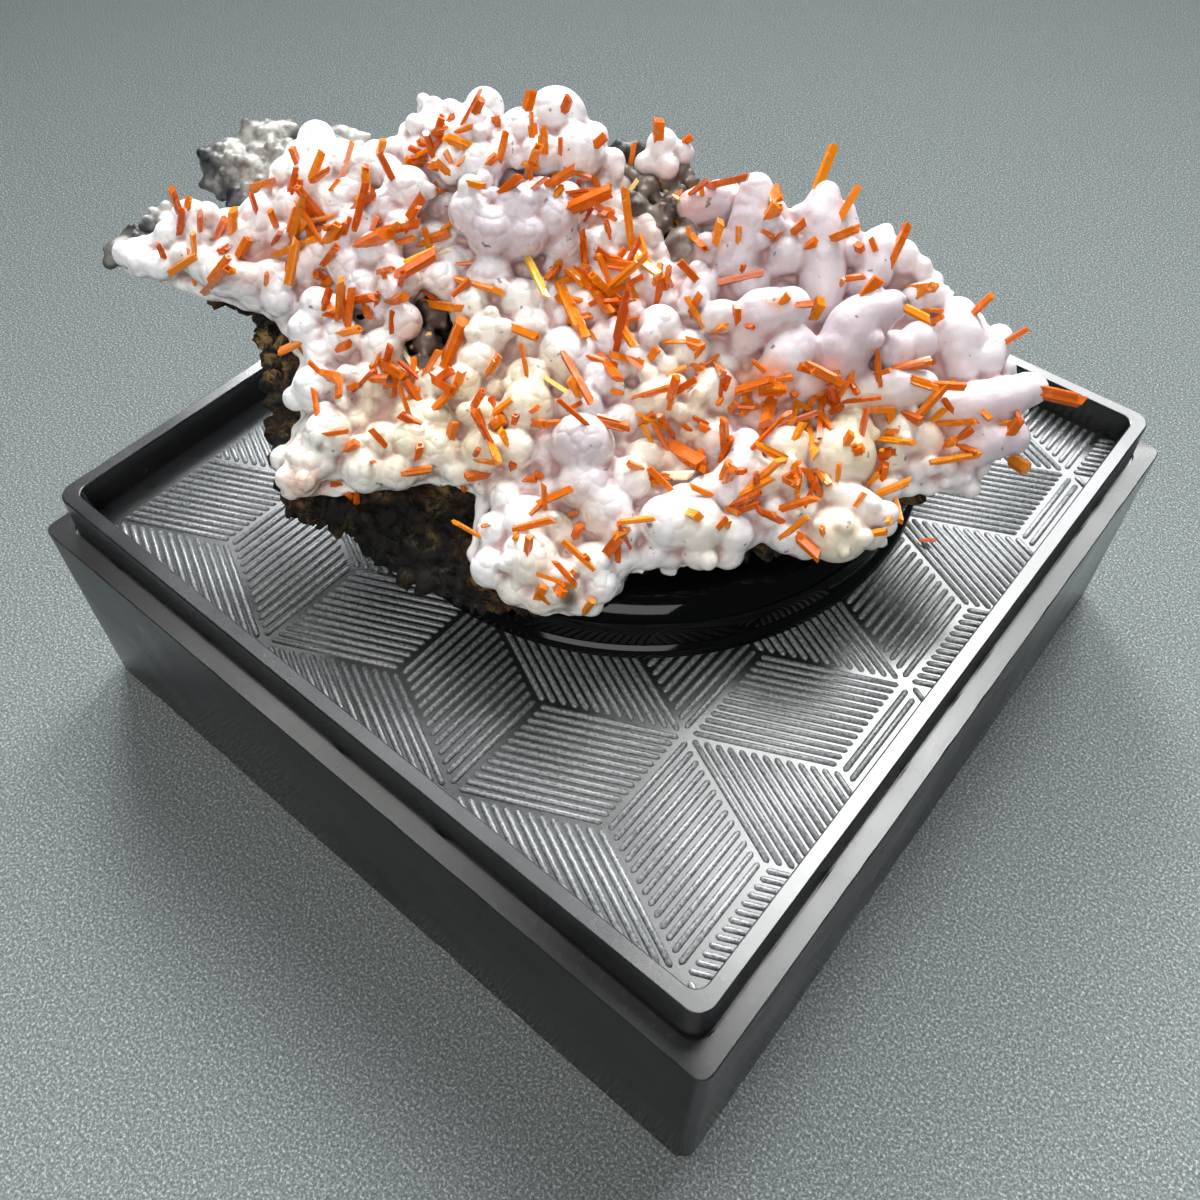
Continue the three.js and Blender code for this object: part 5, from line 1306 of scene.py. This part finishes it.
# The tree sets one of the forms on every point, turned and sized as the point says.
form_inputs = {f"Form {i + 1}": "Object" for i in range(len(forms))}
crystal_tree, given = new_tree("crystals_on_points", {"Seed": "Int", **form_inputs})
kinds = add_node(crystal_tree, "GeometryNodeGeometryToInstance", {})
for label in form_inputs:
    found = add_node(crystal_tree, "GeometryNodeObjectInfo", {"Object": given[label]})
    feed(crystal_tree, kinds.inputs["Geometry"], found.outputs["Geometry"])
way = value_of(crystal_tree, "way", "FLOAT_VECTOR")
aimed = add_node(crystal_tree, "FunctionNodeAlignRotationToVector", {"Vector": way}, axis="Z")
spin = add_node(crystal_tree, "FunctionNodeAxisAngleToRotation", {
    "Axis": (0, 0, 1),
    "Angle": random_value(crystal_tree, 0.0, 6.28, given["Seed"]),
})
turned = add_node(crystal_tree, "FunctionNodeRotateRotation", {
    "Rotation": aimed.outputs["Rotation"],
    "Rotate By": spin.outputs["Rotation"],
}, rotation_space="LOCAL")
placed = add_node(crystal_tree, "GeometryNodeInstanceOnPoints", {
    "Points": given["Geometry"],
    "Instance": kinds.outputs["Instances"],
    "Pick Instance": True,
    "Instance Index": random_value(crystal_tree, 0, len(forms) - 1, given["Seed"], "INT"),
    "Rotation": turned.outputs["Rotation"],
    "Scale": value_of(crystal_tree, "size", "FLOAT_VECTOR"),
})
end_tree(crystal_tree, given, placed.outputs["Instances"])

crust_corners = [tuple(point) for point in points_of(crust.data)]
crust_skin = BVHTree.FromPolygons(crust_corners, [tuple(face.vertices) for face in crust.data.polygons])
above_crust = 14
below_crust = -4
bare_rock = -0.6


def lift_at(x, y):
    """Height of the crust's surface over the face, seen along the way it grows."""
    high, low = place(x, y, above_crust), place(x, y, below_crust)
    hit, _, _, distance = crust_skin.ray_cast(high, (low - high).normalized())
    return above_crust - distance / mm if hit else bare_rock


root_depth = 0.45
clearance = 0.05
thickening = 1.15


def crystal_of(x1, y1, x2, y2, rise, width, hue):
    """One crystal's foot, way, size and hue, with its tip kept clear of the crust."""
    foot_lift = lift_at(x1, y1)
    tip_lift = foot_lift + rise
    for part in (0.4, 0.7, 1):
        under = lift_at(x1 + (x2 - x1) * part, y1 + (y2 - y1) * part)
        tip_lift = max(tip_lift, foot_lift + (under + clearance + width / 4 - foot_lift) / part)
    foot = place(x1, y1, foot_lift - root_depth)
    body = place(x2, y2, tip_lift) - foot
    thickness = width * thickening * mm
    return foot, body.normalized(), (thickness, thickness, body.length), hue


pick = random.Random(5)
crystals = []
for row in large_crystals:
    hue = pick.choice((0.2, 0.35, 0.45, 0.6, 0.75))
    crystals.append(crystal_of(*row[:6], row[6] if len(row) > 6 else hue))
crystals += [crystal_of(*row) for row in pale_blades]
for row in small_crystals:
    crystals.append(crystal_of(*row, pick.choice((0.15, 0.3, 0.4, 0.55, 0.7))))


def crystal_cloud(name, rows, seed):
    """The crystals of all rows as one plain mesh."""
    feet, ways, sizes, hues = zip(*rows)
    seeds = cloud_of(name, feet, {"way": ways, "size": sizes, "hue": hues})
    return grown(seeds, crystal_tree, {"Seed": seed, "Finish": crocoite, **dict(zip(form_inputs, forms))})


# Small crystals sprout all over the crust, thickest around the spray in the middle.
crystal_beds = [
    # x, y, spread, how many, size, lean right, lean up
    (0.4, 3.2, 2.8, 26, 1.5, -0.3, 0.8), (-2.6, 4, 2.2, 12, 1.3, -0.3, 0.9),
    (8.4, -4.2, 2.2, 16, 1.2, 0.8, 0.7), (12.3, -5.2, 2.4, 15, 1.15, 0.3, 0.9),
    (17.6, -6, 2.8, 13, 1.1, 0.9, 0.3), (-19.4, 7.2, 2.6, 15, 1.2, 0.6, 0.5),
    (-24, 7, 3, 10, 1, 0.4, 0.8), (-28, 7, 2, 4, 0.9, 0.3, 0.9), (-15.4, 8, 3.4, 14, 1.1, 0.7, 0.7),
    (-17, 3.4, 3, 12, 1, 0.6, 0.6), (-10, 12.6, 2.4, 20, 0.95, -0.2, 0.6),
    (-7, 14, 3.4, 10, 0.9, 0.3, 0.8), (-3, 11, 3, 10, 1.1, 0.9, 0.6),
    (-13.6, -1.6, 2.4, 16, 1.1, 0.3, 0.8), (-12, -4, 3.6, 14, 1, 0, 0.8),
    (-9, -6, 3.4, 12, 0.9, 0.2, 0.8), (-6, -10, 3.4, 10, 1, 0.5, 0.3),
    (3.4, -6.6, 2.4, 22, 1.1, -0.6, 0.5), (10, -8.4, 3.4, 12, 0.9, 0, 0.8),
    (6.8, -10.8, 2.4, 14, 1.1, 0.9, 0.3), (-3, -3, 4, 10, 1, -0.4, 0.8), (4.4, -2.8, 3, 12, 1, 0.7, 0.5),
    (13.6, 4.6, 3.4, 5, 1, 0.5, 0.8), (18, 0.6, 3.4, 3, 1, 0.6, 0.6), (19, -4, 3.4, 5, 1, 0.9, 0.3),
    (5.6, 10.6, 2, 14, 1, 0.9, 0.4), (-18.4, -3, 3.4, 8, 0.9, 0, 0.4),
    (-3, -13.4, 2.6, 10, 0.9, -0.3, 0.8), (-12.4, 6, 3, 12, 1.1, 0.9, 0.5),
    (0, 8.4, 2.2, 12, 1.1, 0.8, 0.3), (8.6, 3.4, 3, 5, 1, 0.6, 0.6), (22.6, -7.2, 2, 3, 1, 0.9, 0),
    (-17.6, -7, 2, 6, 0.9, 0.4, 0.2), (14.6, -11, 2, 8, 0.8, 0.6, 0.5),
]
sprout_root = 0.35 * mm
least_rise = 0.15
sprouts = []
growth = (specimen_turn @ Vector((-0.09, -0.77, 0.63))).normalized()
for x, y, spread, number, size, lean_right, lean_up in crystal_beds:
    bed_lean = (place(x + lean_right, y + lean_up, 0) - place(x, y, 0)) / mm
    for _ in range(number):
        at_x, at_y = pick.gauss(x, spread * 0.6), pick.gauss(y, spread * 0.55)
        if not inside_outline(at_x, at_y, crust_outline):
            continue
        foot, normal, _, _ = crust_skin.find_nearest(place(at_x, at_y, lift_at(at_x, at_y)))
        lean = bed_lean * 0.75 + 0.6 * Vector([pick.gauss(0, 1) for _ in range(3)])
        way = (normal * 0.5 + growth * 0.2 + lean).normalized()
        if way.dot(normal) < least_rise:
            way = (way + normal * 0.8).normalized()
        width = pick.uniform(0.28, 0.57) * (0.7 + 0.3 * size)
        length = pick.choice((0.5, 0.8, 1.0, 1.3, 1.7, 2.3)) * size + 0.3
        hue = pick.uniform(0, 0.76)
        sprouts.append((foot - way * sprout_root, way, (width * mm, width * mm, length * mm), hue))

# One splinter lies loose on the floor beside the puck.
bearing = 0.17
from_middle = radius + 1.2 * mm
fallen = Vector((centre.x, centre.y, 0)) + from_middle * Vector((math.cos(bearing), math.sin(bearing), 0))
fallen.z = (floor + 0.35) * mm
sprouts.append((fallen, Vector((0.8, 0.6, 0.05)).normalized(), (0.35 * mm, 0.3 * mm, 1.0 * mm), 0.2))

large = crystal_cloud("crocoite_crystals", crystals, 4)
small = crystal_cloud("crocoite_sprouts", sprouts, 9)
for form in forms:
    bpy.data.objects.remove(form)

streaks = noise_node(crocoite, scale=1400, detail=4)
pale_streaks = grey_ramp(crocoite, streaks, (0.5, 0), (0.8, 1))
body = ramp_node(
    crocoite, surface_value(crocoite, "hue"),
    (0, (0.48, 0.07, 0.001)), (0.4, (0.62, 0.135, 0.002)), (0.78, (0.76, 0.25, 0.006)),
    (0.9, (0.9, 0.5, 0.06)), (1, (0.95, 0.88, 0.6)),
)
shade(crocoite, {
    "Base Color": tinted(crocoite, body, pale_streaks, 0.2, (1, 0.38, 0.1)),
    "Roughness": grey_ramp(crocoite, streaks, (0.3, 0.13), (0.7, 0.34)),
    "Normal": bump_node(crocoite, streaks, strength=0.35, distance=0.06 * mm),
    "IOR": 1.5,
    "Subsurface Weight": 0.3,
    "Subsurface Radius": (1.0, 0.35, 0.08),
    "Subsurface Scale": 0.4 * mm,
})
for name in sorted(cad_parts):
    if name.startswith("crocoite_"):
        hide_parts(name)
for piece in (large, small):
    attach(piece, "root")
